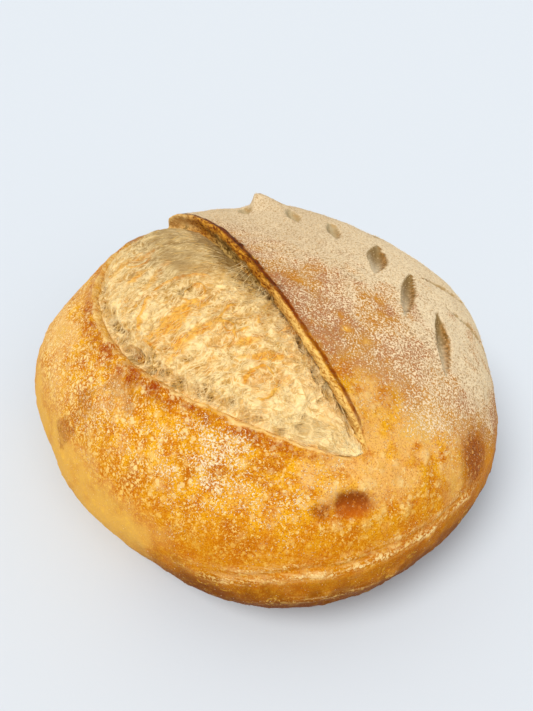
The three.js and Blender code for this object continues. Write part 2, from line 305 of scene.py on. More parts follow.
def lip_width(point):
    """How far left of the slash the ragged lip of the crust stands."""
    ragged = 0.9 * fractal(point, 9, 2, 27) + 0.35 * fractal(point, 2.4, 1, 28)
    return width_at(point) - ragged * smooth(4, 20, width_at(point))


def ear_amount(share):
    return smooth(0, EAR_FULL_FROM, share) * smooth(1, EAR_FULL_TO, share)


def ear_taper(share):
    return 1 - EAR_TAPER * smooth(EAR_TAPER_FROM, EAR_TAPER_TO, share)


def on_top(point):
    return smooth(0, 20, point[..., 2] - WAIST[2])


def crust_frame(x, y):
    """Point and outward normal of the plain crust above plan positions."""
    origin = np.stack((x, y, np.full_like(x, WAIST[2])), -1)
    point, ahead, beside = (
        cast(origin + step, np.broadcast_to(UP, origin.shape))
        for step in np.array(((0, 0, 0), (1, 0, 0), (0, 1, 0)))
    )
    return point, unit(np.cross(ahead - point, beside - point))


# ---- relief ----


def leaves():
    """Each leaf cut as (x, y, heading, length, width)."""
    found = []
    for row in (INNER_LEAVES, OUTER_LEAVES):
        sizes = zip(row["headings"], row["lengths"], row["widths"])
        for (x, y), (heading, length, width) in zip(row["middles"], sizes):
            found.append((x, y, math.radians(heading), length, width))
    return found


def leaf_relief(point):
    """Outward shift in the leaf cuts, how far inside a cut a point is, its steep wall, and
    how far towards the front end of the cut."""
    shift = np.zeros_like(point)
    cut, wall, front = np.zeros((3, *point.shape[:-1]))
    for x, y, heading, length, width in leaves():
        forward = np.array((math.cos(heading), math.sin(heading), 0.0))
        share = np.linspace(0, 1, LEAF_STATIONS)
        step = (share - 0.5) * length
        middles, normals = crust_frame(x + step * forward[0], y + step * forward[1])
        sides = unit(np.cross(forward, normals))
        steep = 1.0 if sides[0, 0] + sides[0, 1] > 0 else -1.0
        chord = middles[-1] - middles[0]
        near = np.linalg.norm(point - middles[LEAF_STATIONS // 2], axis=-1) < length
        close = point[near]
        place = (close - middles[0]) @ chord / (chord @ chord)
        centre, normal, side = (
            np.stack([np.interp(place, share, line[:, k]) for k in range(3)], -1)
            for line in (middles, normals, sides)
        )
        size = np.clip(np.sin(np.pi * np.clip(place, 0, 1)), 0, 1) ** 0.8
        ragged = 0.45 * fractal(close, 4.5, 2, 71)
        sideways = steep * (((close - centre) * side).sum(-1) + ragged) / width
        sideways = sideways / np.maximum(size, 0.05)
        within = smooth(-0.56, 0.12, sideways) * smooth(0.60, 0.20, sideways) * (size > 0.02)
        rim = 0.35 * bell((np.abs(sideways) - 0.72) / 0.16) * size
        floor = 0.25 * fractal(close, 3.5, 1, 72) * within
        shift[near] += normal * (rim + floor - LEAF_DEPTH * size * within)[:, None]
        inside_cut = smooth(-0.60, -0.44, sideways) * smooth(0.60, 0.46, sideways) * (size > 0.02)
        cut[near] = np.maximum(cut[near], inside_cut)
        slope = smooth(0.24, 0.46, sideways + 0.10 * ragged)
        wall[near] = np.maximum(wall[near], inside_cut * slope)
        front[near] = np.maximum(front[near], inside_cut * np.clip(place, 0, 1))
    return shift, cut, wall, front


def flap_relief(point):
    """The crust flap at the back of the dome, lifted to a point at its left end."""
    plan = point[..., :2] - FLAP_START
    share = plan[..., 0] / FLAP_LENGTH
    back = plan[..., 1] - FLAP_DRIFT * share
    rise = FLAP_RISE * (1 - smooth(-0.3, 1, share)) * smooth(-0.09, 0.02, share)
    slope = np.where(back < 0, 1 + back / FLAP_FRONT, 1 - back / FLAP_BACK)
    hollow = FLAP_HOLLOW * bell((share + 0.38) / 0.26) * bell(back / 14)
    return (rise * np.clip(slope, 0, 1) ** 1.15 - hollow) * (point[..., 2] > 60)


def dent_distance(point):
    """Distance from the middle of the dent, 1 at its edge, and the height across it."""
    away = point - DENT_CENTRE
    level, upright = away @ DENT_LEVEL, away @ DENT_UPRIGHT
    outward = np.linalg.norm(away, axis=-1) > 20
    distance = np.hypot(level / DENT_HALF_WIDTH, upright / DENT_HALF_HEIGHT)
    return distance + 9 * outward, upright / DENT_HALF_HEIGHT


def crease_relief(point):
    """Relief of the crease above the foot, its pale edge, and the smooth band below it."""
    azimuth = np.degrees(np.arctan2(point[..., 1], point[..., 0]))
    amount = smooth(-112, -92, azimuth) * smooth(-22, -46, azimuth)
    wander = 1.0 * fractal(point * (1, 1, 0.1), 24, 3, 5)
    below = point[..., 2] - CREASE_HEIGHT + CREASE_FRONT_DROP * smooth(-78, -98, azimuth) - wander
    broken = smooth(-0.5, 0.3, fractal(point * (1, 1, 0.1), 13, 2, 9))
    groove = np.exp(-np.abs(below) / 1.6) * amount
    shelf = 0.55 * bell((below + 2.4) / 1.3) * amount * mixed((0.5, 1.0), broken)
    shelf += 0.4 * bell((below - 2.2) / 1.3) * amount * mixed((1.0, 0.4), broken)
    second = 0.6 * bell((below + 15) / 1.6) * smooth(-104, -80, azimuth) * smooth(-55, -75, azimuth)
    edge = bell((below + 2.6) / 1.5) * amount * mixed((0.7, 1.1), broken) + 0.8 * second
    edge += 0.75 * bell((below - 2.2) / 1.4) * amount * mixed((1.0, 0.5), broken)
    band = smooth(-4.0, -7.0, below) * smooth(-24, -14, below) * amount
    return shelf + second - CREASE_DEPTH * groove, edge, band


def crumb_height(share, offset, width):
    low = smooth(0, 20, width)
    depth = np.clip(-offset / np.maximum(width, 1e-6), 0, 1.2)
    height = -POCKET_DEPTH * ear_amount(share) * np.exp(-depth / POCKET_SHARE)
    height = height + CRUMB_PUFF * np.sin(np.pi * np.clip(depth, 0, 1)) * low
    height = height - CRUMB_BACK_SINK * smooth(0.80, 0.93, share) * low
    return height - LIP_DROP * smooth(1 - LIP_BAND, 1, depth) * low


def crust_height(point, share, offset, width, sunk):
    """How far the surface stands above the plain crust, without the fine relief."""
    ear = ear_amount(share) * ear_taper(share)
    right = EAR_RISE * ear * np.exp(-np.maximum(offset, 0) / EAR_REACH)
    middle = crumb_height(share, offset, width) - CRUMB_SINK * smooth(3, 14, width)
    reach = np.exp(np.minimum(offset + width, 0) / LIP_REACH)
    left = LIP_RISE * smooth(0, 20, width) * reach
    height = np.where(offset >= 0, right, np.where(sunk, middle, left))
    dent = dent_distance(point)[0] + 0.08 * fractal(point, 6, 2, 6)
    return height * on_top(point) - DENT_DEPTH * smooth(1.15, 0.25, dent)


# ---- the crust ----


def crust_turns(start, end, count):
    """Turns from the left lip round under the loaf to the ear: close together on the dome and
    closest at both edges, wide apart under the loaf."""
    turn = start[:, None] + (end - start)[:, None] * np.linspace(0, 1, 900)
    left, right = math.pi, 2 * math.pi
    under = smooth(left + 0.25, left + 0.55, turn) * smooth(right - 0.2, right - 0.5, turn)
    density = 1 - 0.82 * under + 1.6 * np.exp((start[:, None] - turn) / 0.05)
    density += 0.7 * np.exp((turn - end[:, None]) / 0.04)
    total = np.cumsum(density, axis=1)
    total = (total - total[:, :1]) / (total[:, -1:] - total[:, :1])
    even = np.linspace(0, 1, count)
    return np.stack([np.interp(even, total[i], turn[i]) for i in range(len(turn))])


def section_curve(corners, count):
    """Evenly spaced points on a smooth curve through the corners of a section."""
    corners = np.array(corners)
    padded = np.vstack((2 * corners[0] - corners[1], corners, 2 * corners[-1] - corners[-2]))
    points = []
    for a, b, c, d in zip(padded, padded[1:], padded[2:], padded[3:]):
        for t in np.linspace(0, 1, 12, endpoint=False):
            squared = (2 * a - 5 * b + 4 * c - d) * t**2
            cubed = (3 * b - a - 3 * c + d) * t**3
            points.append(0.5 * (2 * b + (c - a) * t + squared + cubed))
    points = np.array(points + [corners[-1]])
    length = np.r_[0, np.cumsum(np.linalg.norm(np.diff(points, axis=0), axis=1))]
    even = np.linspace(0, length[-1], count)
    return np.stack([np.interp(even, length, points[:, k]) for k in range(2)], -1)


def row_angles(front_step, back_step):
    """Row angles, closer together over the front of the loaf than over its back."""
    rows = [front_step]
    while rows[-1] < 180:
        blend = float(smooth(95, 125, rows[-1]))
        rows.append(rows[-1] + mixed((front_step, back_step), blend))
    return np.radians(np.array(rows[:-1]) * 180 / rows[-1])


def ear_points(ridge, ridge_direction, band):
    """The fold of the ear, over its crest, down its torn face and into the pocket, and how much
    of an ear each row has."""
    share = slash_share(ridge)
    amount = ear_amount(share)[:, None]
    column = np.arange(EAR_COLUMNS)
    section = section_curve(EAR_SECTION, EAR_COLUMNS)
    evenly = band[:, None] * (1 - 2 * (column + 1) / (EAR_COLUMNS + 1))
    sway = EAR_SWAY * np.sin(-2 * math.pi * share)[:, None]
    right = evenly + (section[:, 0] + sway - evenly) * amount
    above = np.where(section[:, 1] > 0, section[:, 1] * ear_taper(share)[:, None], section[:, 1])
    ear = ridge[:, None] + right[..., None] * ACROSS
    ear = ear + (above * amount)[..., None] * ridge_direction[:, None]
    torn = smooth(*EAR_FACE_COLUMNS, column) * smooth(32, 26, column)
    lower = smooth(8, 17, column)
    ragged = 0.55 * fractal(ear * (1, 1, 0.4), 2.2, 2, 11)
    ragged = ragged + lower * (0.9 * fractal(ear * (1, 1, 0.3), 6, 2, 12) + 0.5)
    ear = ear - (ragged * torn * amount)[..., None] * ACROSS
    wave = 0.5 * fractal(ridge, 9, 2, 13)[:, None] + 0.25 * fractal(ridge, 2.5, 1, 14)[:, None]
    crest = smooth(16, 7, column) * amount
    return ear + (wave * crest)[..., None] * UP, amount


def crust_grid():
    """Points of the crust (rows, columns, 3), their outward directions, and the ear amount."""
    rows = row_angles(*ROW_STEPS)
    ridge_direction = slash_direction(rows, np.full_like(rows, math.pi / 2))
    ridge = cast(SLASH_CENTRE, ridge_direction)
    band = EAR_BAND * np.sin(rows)
    least = OPENING_LEAST_WIDTH * np.sin(rows)
    lip = turn_where(rows, lambda point: -np.hypot(lip_width(point), least))
    crumb = turn_where(rows, lambda point: -band)
    last = turn_where(rows, lambda point: band) + 2 * math.pi
    ear, amount = ear_points(ridge, ridge_direction, band)

    inner = crumb[:, None] + (lip - 0.003 - crumb)[:, None] * np.linspace(0, 1, CRUMB_COLUMNS)
    outer = crust_turns(lip + 0.003, last, CRUST_COLUMNS)
    turns = np.concatenate((inner, outer), 1)
    direction = slash_direction(rows[:, None], turns)
    plain = cast(SLASH_CENTRE, direction)
    share = slash_share(plain)
    sunk = np.broadcast_to(np.arange(turns.shape[1]) < CRUMB_COLUMNS, turns.shape)
    height = crust_height(plain, share, slash_offset(plain), opening_width(share), sunk)
    surface = plain + direction * height[..., None]
    point = np.concatenate((ear, surface), 1)
    return point, np.concatenate((unit(ear - SLASH_CENTRE), direction), 1), amount


# Where flour lies on the bare crust and where the crust is scorched:
# amount, then position, reach across and up, and how ragged it is.
FLOUR_PATCHES = (
    (-0.5, (14, -10, 106, 17, 17, 1.0)),
    (-0.5, (43, -30, 97, 12, 11, 1.2)),
    (0.42, (66, -56, 77, 15, 13, 0.9)),
    (0.45, (59, -64, 77, 8, 9, 0.8)),
    (0.48, (-19, -84, 75, 15, 9, 0.8)),
    (0.30, (-8, -89, 68, 28, 14, 0.9)),
    (0.28, (-32, -90, 62, 13, 10, 0.9)),
    (0.26, (-84, -36, 72, 28, 18, 0.9)),
    (0.28, (-62, -64, 66, 15, 9, 0.9)),
)
SCORCHED_PATCHES = (
    (1.0, (88, -64, 54, 12, 13, 0.1)),
    (0.6, (-85.8, -54.6, 52, 4.0, 8, 1.3)),
    (0.55, (-76.8, -53, 65, 6, 5, 1.3)),
    (0.5, (-56, -59, 78, 11, 5, 1.0)),
    (0.4, (47, -84.5, 69, 7, 4, 1.0)),
    (0.4, (54, -59, 83, 8, 6, 1.0)),
    (0.35, (-20, -104, 48, 12, 6, 1.0)),
    (0.75, (20.0, -99.4, 63.0, 3.6, 2.6, 0.6)),
)


def left_side(point):
    """1 on the left of the loaf, which is less baked towards the foot."""
    return smooth(-18, -68, point[..., 0]) * smooth(75, 0, point[..., 1])


def crust_marks(point, offset):
    """Masks that steer the crust's colours, from where things are on the loaf."""
    x, y, z = np.moveaxis(point, -1, 0)
    broad = fractal(point, 22, 3, 41)
    fine = fractal(point, 6, 3, 42)
    cloud = fractal(point, 13, 3, 43)

    def patch(px, py, pz, across, tall, ragged):
        away = (point - np.array((px, py, pz))) / (across, across, tall)
        return smooth(1.8, 0.1, np.linalg.norm(away, axis=-1) + ragged * (broad + fine))

    # Flour lies over the right and back of the dome, thickest at the back.
    field = smooth(-88, -40, y + 7 * broad + 6 * fine + 5 * cloud)
    field = field * (0.62 + 0.34 * smooth(-48, 22, y + 0.45 * x + 6 * broad))
    field = field * (1 - 0.24 * smooth(0.0, 0.6, cloud) * smooth(30, -5, y))
    field = field * (1 - 0.32 * np.exp(-np.maximum(offset, 0) / 16) * smooth(55, 25, y))
    flour = field * smooth(-1.5, 1, offset) * smooth(34, 62, z + 5 * fine)
    for amount, place in FLOUR_PATCHES:
        flour = 1 - (1 - flour) * (1 - amount * patch(*place))
    behind = smooth(32, 64, y) * smooth(25, 55, z)
    flour = np.maximum(flour, behind * (0.85 + 0.15 * broad))
    distance, upright = dent_distance(point)
    dent = smooth(1.25, 0.6, distance + 0.2 * fine - 0.08 * (upright - 1))
    scorch = np.zeros_like(x)
    for amount, place in SCORCHED_PATCHES:
        scorch = np.maximum(scorch, amount * patch(*place))
    flour = flour * (1 - 0.8 * dent) * (1 - 0.75 * scorch)

    # Crust is paler in front of the opening, and on the left towards the foot.
    toast = 0.1 + 0.65 * broad + 0.6 * cloud + 0.3 * fine
    toast -= 0.7 * patch(40, -82, 74, 24, 9, 0.3)
    toast -= 0.9 * patch(74, -75, 54, 6, 10, 0.4)
    toast -= 0.6 * smooth(20, 55, x) * smooth(-25, -50, y) * smooth(45, 65, z)
    toast -= 0.75 * smooth(-70, -104, x) * smooth(30, 60, z)
    toast -= 1.8 * left_side(point) * smooth(60, 34, z)
    dots = 0.5 + 0.5 * smooth(20, -70, x) + 0.35 * cloud
    return {
        "flour": np.clip(flour, 0, 1),
        "field": np.maximum(smooth(-1.5, 1, offset) * smooth(-75, -45, y), behind),
        "scorch": np.clip(scorch, 0, 1),
        "dent": dent,
        "dent_shade": smooth(-0.9, 0.6, upright) * (distance < 3),
        "toast": toast,
        "dots": dots - 0.5 * patch(45, -78, 76, 26, 10, 0.2),
    }


class SlashPlace:
    """Where each point of the crust's grid lies about the slash: beyond is how far left of the
    lip it is, and whole is 0 inside the opening, where the crust's relief doesn't show."""

    def __init__(self, point, amount):
        self.amount = amount
        self.column = np.arange(point.shape[1])[None]
        self.share, self.offset = slash_share(point), slash_offset(point)
        self.width, self.top = width_at(point), on_top(point)
        self.outer = self.column >= FIRST_OUTER
        self.left = self.outer & (self.offset < 0)
        self.beyond = np.maximum(-(self.offset + lip_width(point)), 0)
        self.lip = smooth(2, 16, self.width) * self.top * self.left
        self.uneven = fractal(point, 7, 2, 26)
        slit = np.maximum(amount, smooth(0, 4, self.width)) * self.top
        self.whole = np.where(self.outer | (self.column < 2), 1.0, 1 - slit)


def blisters(point, size, seed, radii, least):
    """Round blisters scattered at most one to a cube of that size."""
    near, _, mark = scattered(point, size, seed)
    return smooth(1.1, 0.5, near / mixed(radii, mark)) * (mark > least)


def crust_relief(point, place, bare):
    """Fine relief of the crust, how much of a blister each point is on, and the crease's pale
    edge and band."""
    big = blisters(point, 9, 24, (0.8, 3.4), 0.35)
    small = blisters(point, 4.5, 25, (0.5, 1.9), 0.3)
    fine = 0.75 * fractal(point, 34, 2, 21) + 0.32 * fractal(point, 9, 2, 22)
    fine += 0.12 * fractal(point, 2.6, 2, 23) + (0.36 * big + 0.24 * small) * bare
    crease, edge, band = crease_relief(point)
    beyond, lip = place.beyond, place.lip
    roll = (0.5 + 0.5 * place.uneven) * bell((beyond - 0.8) / 0.9)
    roll = roll - 0.3 * bell((beyond - 3.4) / 1.2)
    fine = fine * (1 - 0.6 * np.exp(-beyond / 2) * lip) + roll * lip + crease
    return fine, np.maximum(0.8 * big, 0.9 * small) * bare, edge, band


def ear_marks(point, place, patchy):
    """The charred crest of the ear, the torn face under it, and the pocket, dark with painted
    shade.
    """
    column, share, offset = place.column, place.share, place.offset
    amount, high = place.amount, place.top > 0.2
    middle = bell((share - 0.58) / 0.2)
    away = np.abs(column - EAR_CREST_COLUMN - 0.6 * middle + 1.2 * patchy)
    crest = smooth(3.4 + middle, 1.2, away) * (column < EAR_COLUMNS)
    crest = crest * amount * mixed((0.7, 1.0), middle) * high
    beside = np.exp(-np.maximum(offset, 0) / 2.0) * (offset > 0)
    beside = beside * (column > FIRST_OUTER) * amount
    smear = 0.25 * middle + 0.3 * smooth(0.48, 0.36, share)
    torn = smooth(*EAR_FACE_COLUMNS, column) * (column < FIRST_OUTER)
    torn = torn * np.maximum(amount, smooth(2, 8, place.width)) * high
    pocket = smooth(12.5, 16.5, column + 2.5 * patchy) * torn * smooth(0.78, 0.64, share)
    # Near the front, the pocket's painted shade lies in lens-shaped patches.
    lens = smooth(-0.25, 0.2, fractal(point, 10, 2, 33))
    pocket = pocket * mixed((lens, 1.0), smooth(0.4, 0.6, share))
    # Painted shade: a dark hole under the hood.
    hole = np.linalg.norm((point - HOOD_HOLE) / HOOD_HOLE_SIZE, axis=-1)
    return {
        "char": np.maximum(crest * (1 + 0.35 * patchy), beside * smear * place.top),
        "torn": torn,
        "pocket": np.maximum(pocket, smooth(1.2, 0.6, hole + 0.3 * patchy)),
    }


def rim_marks(place, patchy):
    """The pale rolled rim along the left lip, and beyond it a brown band, partly browner crust and
    partly painted shade.
    """
    share, beyond, uneven = place.share, place.beyond, place.uneven
    wide = mixed((2.6, 3.0), smooth(0.34, 0.2, share)) + 1.2 * uneven
    rim = smooth(wide, wide - 1.3, beyond) * smooth(0.5, 7, place.width) * place.top * place.left
    shade = bell((beyond - 4.8 - 1.2 * uneven) / 1.9) * place.lip * smooth(0.98, 0.8, share)
    shade = shade * (0.62 + 0.8 * patchy) * mixed((0.75, 1.3), bell((share - 0.42) / 0.16))
    return {"rim": rim, "rim_shade": shade}


def build_crust(material):
    point, outward, amount = crust_grid()
    place = SlashPlace(point, amount)
    marks = crust_marks(point, place.offset)
    bare = 1 - 0.75 * marks["flour"]
    fine, blister, edge, band = crust_relief(point, place, bare)
    point = point + outward * (fine * smooth(0, 3, point[..., 2]) * place.whole)[..., None]
    shift, cut, wall, cut_front = leaf_relief(point)
    point = point + shift * place.whole[..., None]
    point = point + (flap_relief(point) * place.whole)[..., None] * UP
    point[..., 2] = np.maximum(point[..., 2], 0)

    patchy = fractal(point, 5, 3, 29)
    # The foot darkens towards the floor: partly a browner base, partly painted shade under the
    # loaf.
    foot = smooth(46, 20, point[..., 2] - 4 * place.uneven) * (1 - 0.85 * left_side(point))
    right = smooth(84, 90, point[..., 0] + 0.5 * point[..., 1])
    marks |= ear_marks(point, place, patchy) | rim_marks(place, patchy)
    marks |= {
        "flour": marks["flour"] * (1 - np.exp(-place.beyond / 3.5) * place.lip) * place.whole,
        "grain": np.stack((point @ ALONG, point @ ACROSS, point[..., 2]), -1) * MM,
        "far": smooth(0.72, 0.92, place.share),
        "near": smooth(0.42, 0.22, place.share),
        "cut": cut * place.whole,
        "wall": wall * place.whole,
        "cut_front": cut_front,
        "faint": np.maximum(smooth(28, 50, point[..., 1]), right),
        "blister": blister * place.whole,
        "crease": edge,
        "foot": np.maximum(0.4 * band, foot),
    }
    flat = {name: closed(values) for name, values in marks.items()}
    ends = cast(SLASH_CENTRE, np.stack((-ALONG, ALONG)))
    points = np.vstack((point.reshape(-1, 3), ends))
    faces = tube_faces(*point.shape[:2])
    piece = make_piece("crust", points, faces, flat, material)
    return piece, point[:, EAR_THREAD_COLUMN], points, flat["flour"]


# ---- the crumb ----

# Hollows of the crumb: plan position, radius, depth, turn from the slash and how long it is.
CRUMB_PITS = (
    (-36.7, -16.6, 3.2, 1.8, 80, 1.3), (-52.3, -28.7, 2.2, 1.4, 90, 1.2),
    (-57.4, -43.6, 3.8, 4.6, 25, 2.0), (-48.5, -52.0, 2.2, 2.4, 30, 1.6),
    (-42.5, -55.5, 2.4, 1.8, 30, 1.5), (-35.6, -60.7, 3.2, 2.0, 35, 1.5),
    (-30.7, -51.7, 3.0, 1.5, 90, 1.3), (-24.0, -66.0, 3.4, 1.8, 50, 1.6),
    (-60.2, -35.0, 1.8, 1.6, 20, 1.6), (13.0, -49.0, 1.7, 2.6, -8, 2.2),
    (18.6, -61.0, 1.8, 3.4, -8, 2.4), (22.6, -66.4, 1.6, 2.8, -8, 2.2),
    (30.6, -77.5, 1.4, 2.6, -10, 2.2), (-48.5, 25.7, 2.6, 1.4, 90, 1.5),
    (-20.5, 17.4, 3.2, 1.8, 0, 1.8), (-10.5, -10.2, 2.6, 2.0, 0, 2.4),
    (16.6, -79.0, 4.4, 1.8, 60, 1.5), (7.6, -78.5, 3.8, 1.5, 60, 1.4),
    (-4.5, -76.0, 3.4, 1.5, 50, 1.4), (-14.0, -71.5, 3.2, 1.4, 40, 1.4),
    (-82.0, 5.0, 2.0, 4.0, 12, 4.0), (3.8, -40.2, 2.0, 1.6, 0, 1.6),
    (25.4, -81.0, 1.8, 1.4, 0, 1.6),
)
# Crossing strands of the crumb: noise seed, turn from across the slash, size and stretch.
CRUMB_STRANDS = ((83, 0, 3.4, 3.6), (85, 38, 4.4, 3.2), (87, -36, 4.0, 3.2), (89, 80, 6.5, 1.6))
# Round bubbles with a raised rim: plan position and radius. The large one shows half its rim.
CRUMB_BUBBLES = (
    (-35, -28, 19.5), (-3.0, -64.7, 5.6), (-33, -20, 5.0), (-62, 14, 7.0), (-20, -44, 6.0),
    (-12, -36, 7.5),
)
LARGE_BUBBLE = 10.0
# Toasted streaks: plan position, half length and half width, heading and strength.
CRUMB_TOASTS = (
    (-38, -33, 13, 5.0, 34, 1.0), (-30, -42, 11, 2.6, 26, 0.9), (-37, -50, 8, 2.2, 34, 0.6),
    (-60.8, -1.5, 6, 2.4, 40, 1.0), (-71, 14, 8, 3.0, 60, 0.6), (-62.8, 16.8, 6, 2.4, 30, 0.8),
    (-52, -6, 9, 2.4, 70, 0.7), (-1, -54.5, 9, 1.8, 0, 0.9), (-9, -48, 10, 2.0, 20, 0.7),
    (-3, -64.7, 5, 5.0, 0, 0.4), (-20, -30, 8, 2.4, 40, 0.5), (6, -42, 7, 2.2, 20, 0.5),
    (-24, -57, 10, 2.6, 30, 0.4), (4, -66, 7, 2.4, 40, 0.5),
)


def turned(ahead, aside, turn):
    """Distances along and across a heading."""
    along = math.cos(turn) * ahead + math.sin(turn) * aside
    return along, math.cos(turn) * aside - math.sin(turn) * ahead


def crumb_web(plain, u, v):
    """Thin strands that cross over the torn crumb."""
    web = np.zeros(plain.shape[:-1])
    for seed, degrees, size, stretch in CRUMB_STRANDS:
        along, beside = turned(v, u, math.radians(degrees))
        place = (beside / size, along / (size * stretch), plain[..., 2] / 40)
        noise = Noise(seed)(np.stack(place, -1))
        patchy = smooth(-0.5, 0.3, Noise(seed + 1)(plain / (3.5 * size)))
        web = np.maximum(web, np.exp(-np.abs(noise) * size / 0.34) * patchy)
    return web


def crumb_pits(plain, depth, share, wobble):
    """Hollows at their places and along both edges: how much of one, and how deep."""
    pits, depths = np.zeros((2, *plain.shape[:-1]))
    for x, y, radius, deep, degrees, stretch in CRUMB_PITS:
        turn = HEADING + math.radians(degrees)
        along, beside = turned(plain[..., 0] - x, plain[..., 1] - y, turn)
        hole = smooth(1.2, 0.5, (np.hypot(along / stretch, beside) + 0.45 * wobble) / radius)
        pits = np.maximum(pits, hole * smooth(0, 2.4, deep))
        depths = np.maximum(depths, deep * hole)
    torn = bell((depth - 0.95) / 0.032) * smooth(-0.05, 0.35, fractal(plain, 9, 2, 65))
    beside_ear = bell((depth - 0.075) / 0.035) * smooth(0, 0.35, fractal(plain, 8, 2, 66))
    beside_ear = beside_ear * smooth(0.6, 0.5, share) * smooth(0.36, 0.44, share)
    torn = np.maximum(torn, beside_ear) * smooth(0.1, 0.2, share)
    return np.maximum(pits, torn), np.maximum(depths, 1.8 * torn)


def crumb_rings(plain, depths, wobble):
    """Raised rims of the bubbles, and the depths with the bubbles' hollows added."""
    rings = np.zeros(plain.shape[:-1])
    broken = smooth(-0.5, 0.1, fractal(plain, 11, 2, 64))
    for x, y, radius in CRUMB_BUBBLES:
        ahead, aside = plain[..., 0] - x, plain[..., 1] - y
        distance = np.hypot(ahead, aside)
        left = smooth(-0.35, 0.1, (aside * 0.6 - ahead) / (distance + 1e-3))
        distance = distance + 1.2 * wobble
        ring = bell((distance - radius) / (0.4 + 0.02 * radius)) * broken
        if radius > LARGE_BUBBLE:
            ring = ring * left
        else:
            depths = depths + 0.9 * smooth(radius, 0.4 * radius, distance)
        rings = np.maximum(rings, ring)
    return rings, depths


def crumb_toast(plain, wobble):
    """How toasted the crumb is, in streaks."""
    toast = np.zeros(plain.shape[:-1])
    for x, y, long, short, degrees, strength in CRUMB_TOASTS:
        along, beside = turned(plain[..., 0] - x, plain[..., 1] - y, math.radians(degrees))
        away = np.hypot(along / long, beside / short) + 0.6 * wobble
        toast = np.maximum(toast, strength * smooth(1.7, 0.1, away))
    return toast


def crumb_relief(plain, depth, share):
    """Fine relief of the torn crumb, and the masks that steer its colours."""
    wobble = fractal(plain, 5, 2, 59)
    warp = np.stack([4.4 * fractal(plain, 17, 3, 51 + 3 * k) for k in range(3)], -1)
    flow = plain + warp
    u, v = flow @ ALONG, flow @ ACROSS
    web = crumb_web(plain, u, v)

    # Cells, livelier along the edges and near the front tip than in the calm far part.
    edge = np.maximum(smooth(0.34, 0.05, depth), smooth(0.6, 0.92, depth))
    edge = np.maximum(edge, smooth(0.26, 0.10, share))
    calm = smooth(0.42, 0.6, share) * smooth(0.62, 0.3, depth)
    lively = mixed((0.4, 1.0), edge) * (1 - 0.7 * calm)
    near, second, mark = scattered(plain + 0.5 * warp, 5.2, 57)
    walls = np.exp(-(second - near) / 0.55) * lively * (mark > 0.15)
    pit = smooth(1.0, 0.25, near / mixed((0.8, 2.4), mark)) * (mark > 0.45) * lively
    near, second, mark = scattered(plain + warp, 14.0, 58)
    big_walls = np.exp(-(second - near) / 0.6) * smooth(-0.1, 0.5, wobble) * (1 - calm)
    bowl = smooth(1.0, 0.1, near / mixed((2.5, 6.5), mark)) * (mark > 0.3) * (1 - 0.6 * calm)
    pits, depths = crumb_pits(plain, depth, share, wobble)
    rings, depths = crumb_rings(plain, depths, wobble)

    lumps = fractal(plain, 22, 3, 60)
    wrinkle = fractal(plain + 0.5 * warp, 5, 3, 61)
    relief = 0.8 * lumps + 0.35 * wrinkle + 0.25 * web * (1 - 0.5 * calm) + 0.75 * walls
    relief += 0.6 * big_walls - 1.1 * pit - 1.2 * bowl - depths + 0.8 * rings
    ledge = 2.4 * bell((depth - 0.04) / 0.07)
    relief += ledge * smooth(0.46, 0.34, share) * smooth(0.05, 0.14, share)
    relief += 1.3 * smooth(0.3, 0.14, share) * smooth(0.72, 0.93, depth)
    # Painted shade in the recess beside the ear, narrower towards the back.
    reach = mixed((0.26, 0.15), smooth(0.55, 0.7, share))
    recess_shade = smooth(reach, 0.02, depth + 0.05 * wobble)
    recess_shade = recess_shade * smooth(0.22, 0.42, share) * smooth(0.74, 0.60, share)
    # Painted shade: hollow in the hollows, shade in the recess beside the ear, grey over the far
    # part; high places are paler, partly painted highlight.
    masks = {
        "hollow": np.clip(0.75 * pit + 0.4 * bowl + pits - 0.6 * walls - 0.5 * web, 0, 1),
        "shade": np.clip(recess_shade, 0, 1),
        "grey": 0.8 * smooth(0.44, 0.64, share + 0.04 * lumps) * smooth(0.95, 0.45, depth),
        "toast": np.clip(np.maximum(crumb_toast(plain, wobble), 0.9 * rings), 0, 1),
        "high": np.clip(0.4 * web + 1.0 * walls + 0.7 * big_walls + 0.2 * wrinkle, 0, 1),
        "calm": calm,
        "tip": smooth(0.24, 0.08, share),
        "thread": np.stack((u, v, plain[..., 2]), -1) * MM,
    }
    return relief, masks


def ridge_share(rows):
    """How far along the slash each row crosses it."""
    straight_up = slash_direction(rows, np.full_like(rows, math.pi / 2))
    return slash_share(cast(SLASH_CENTRE, straight_up))


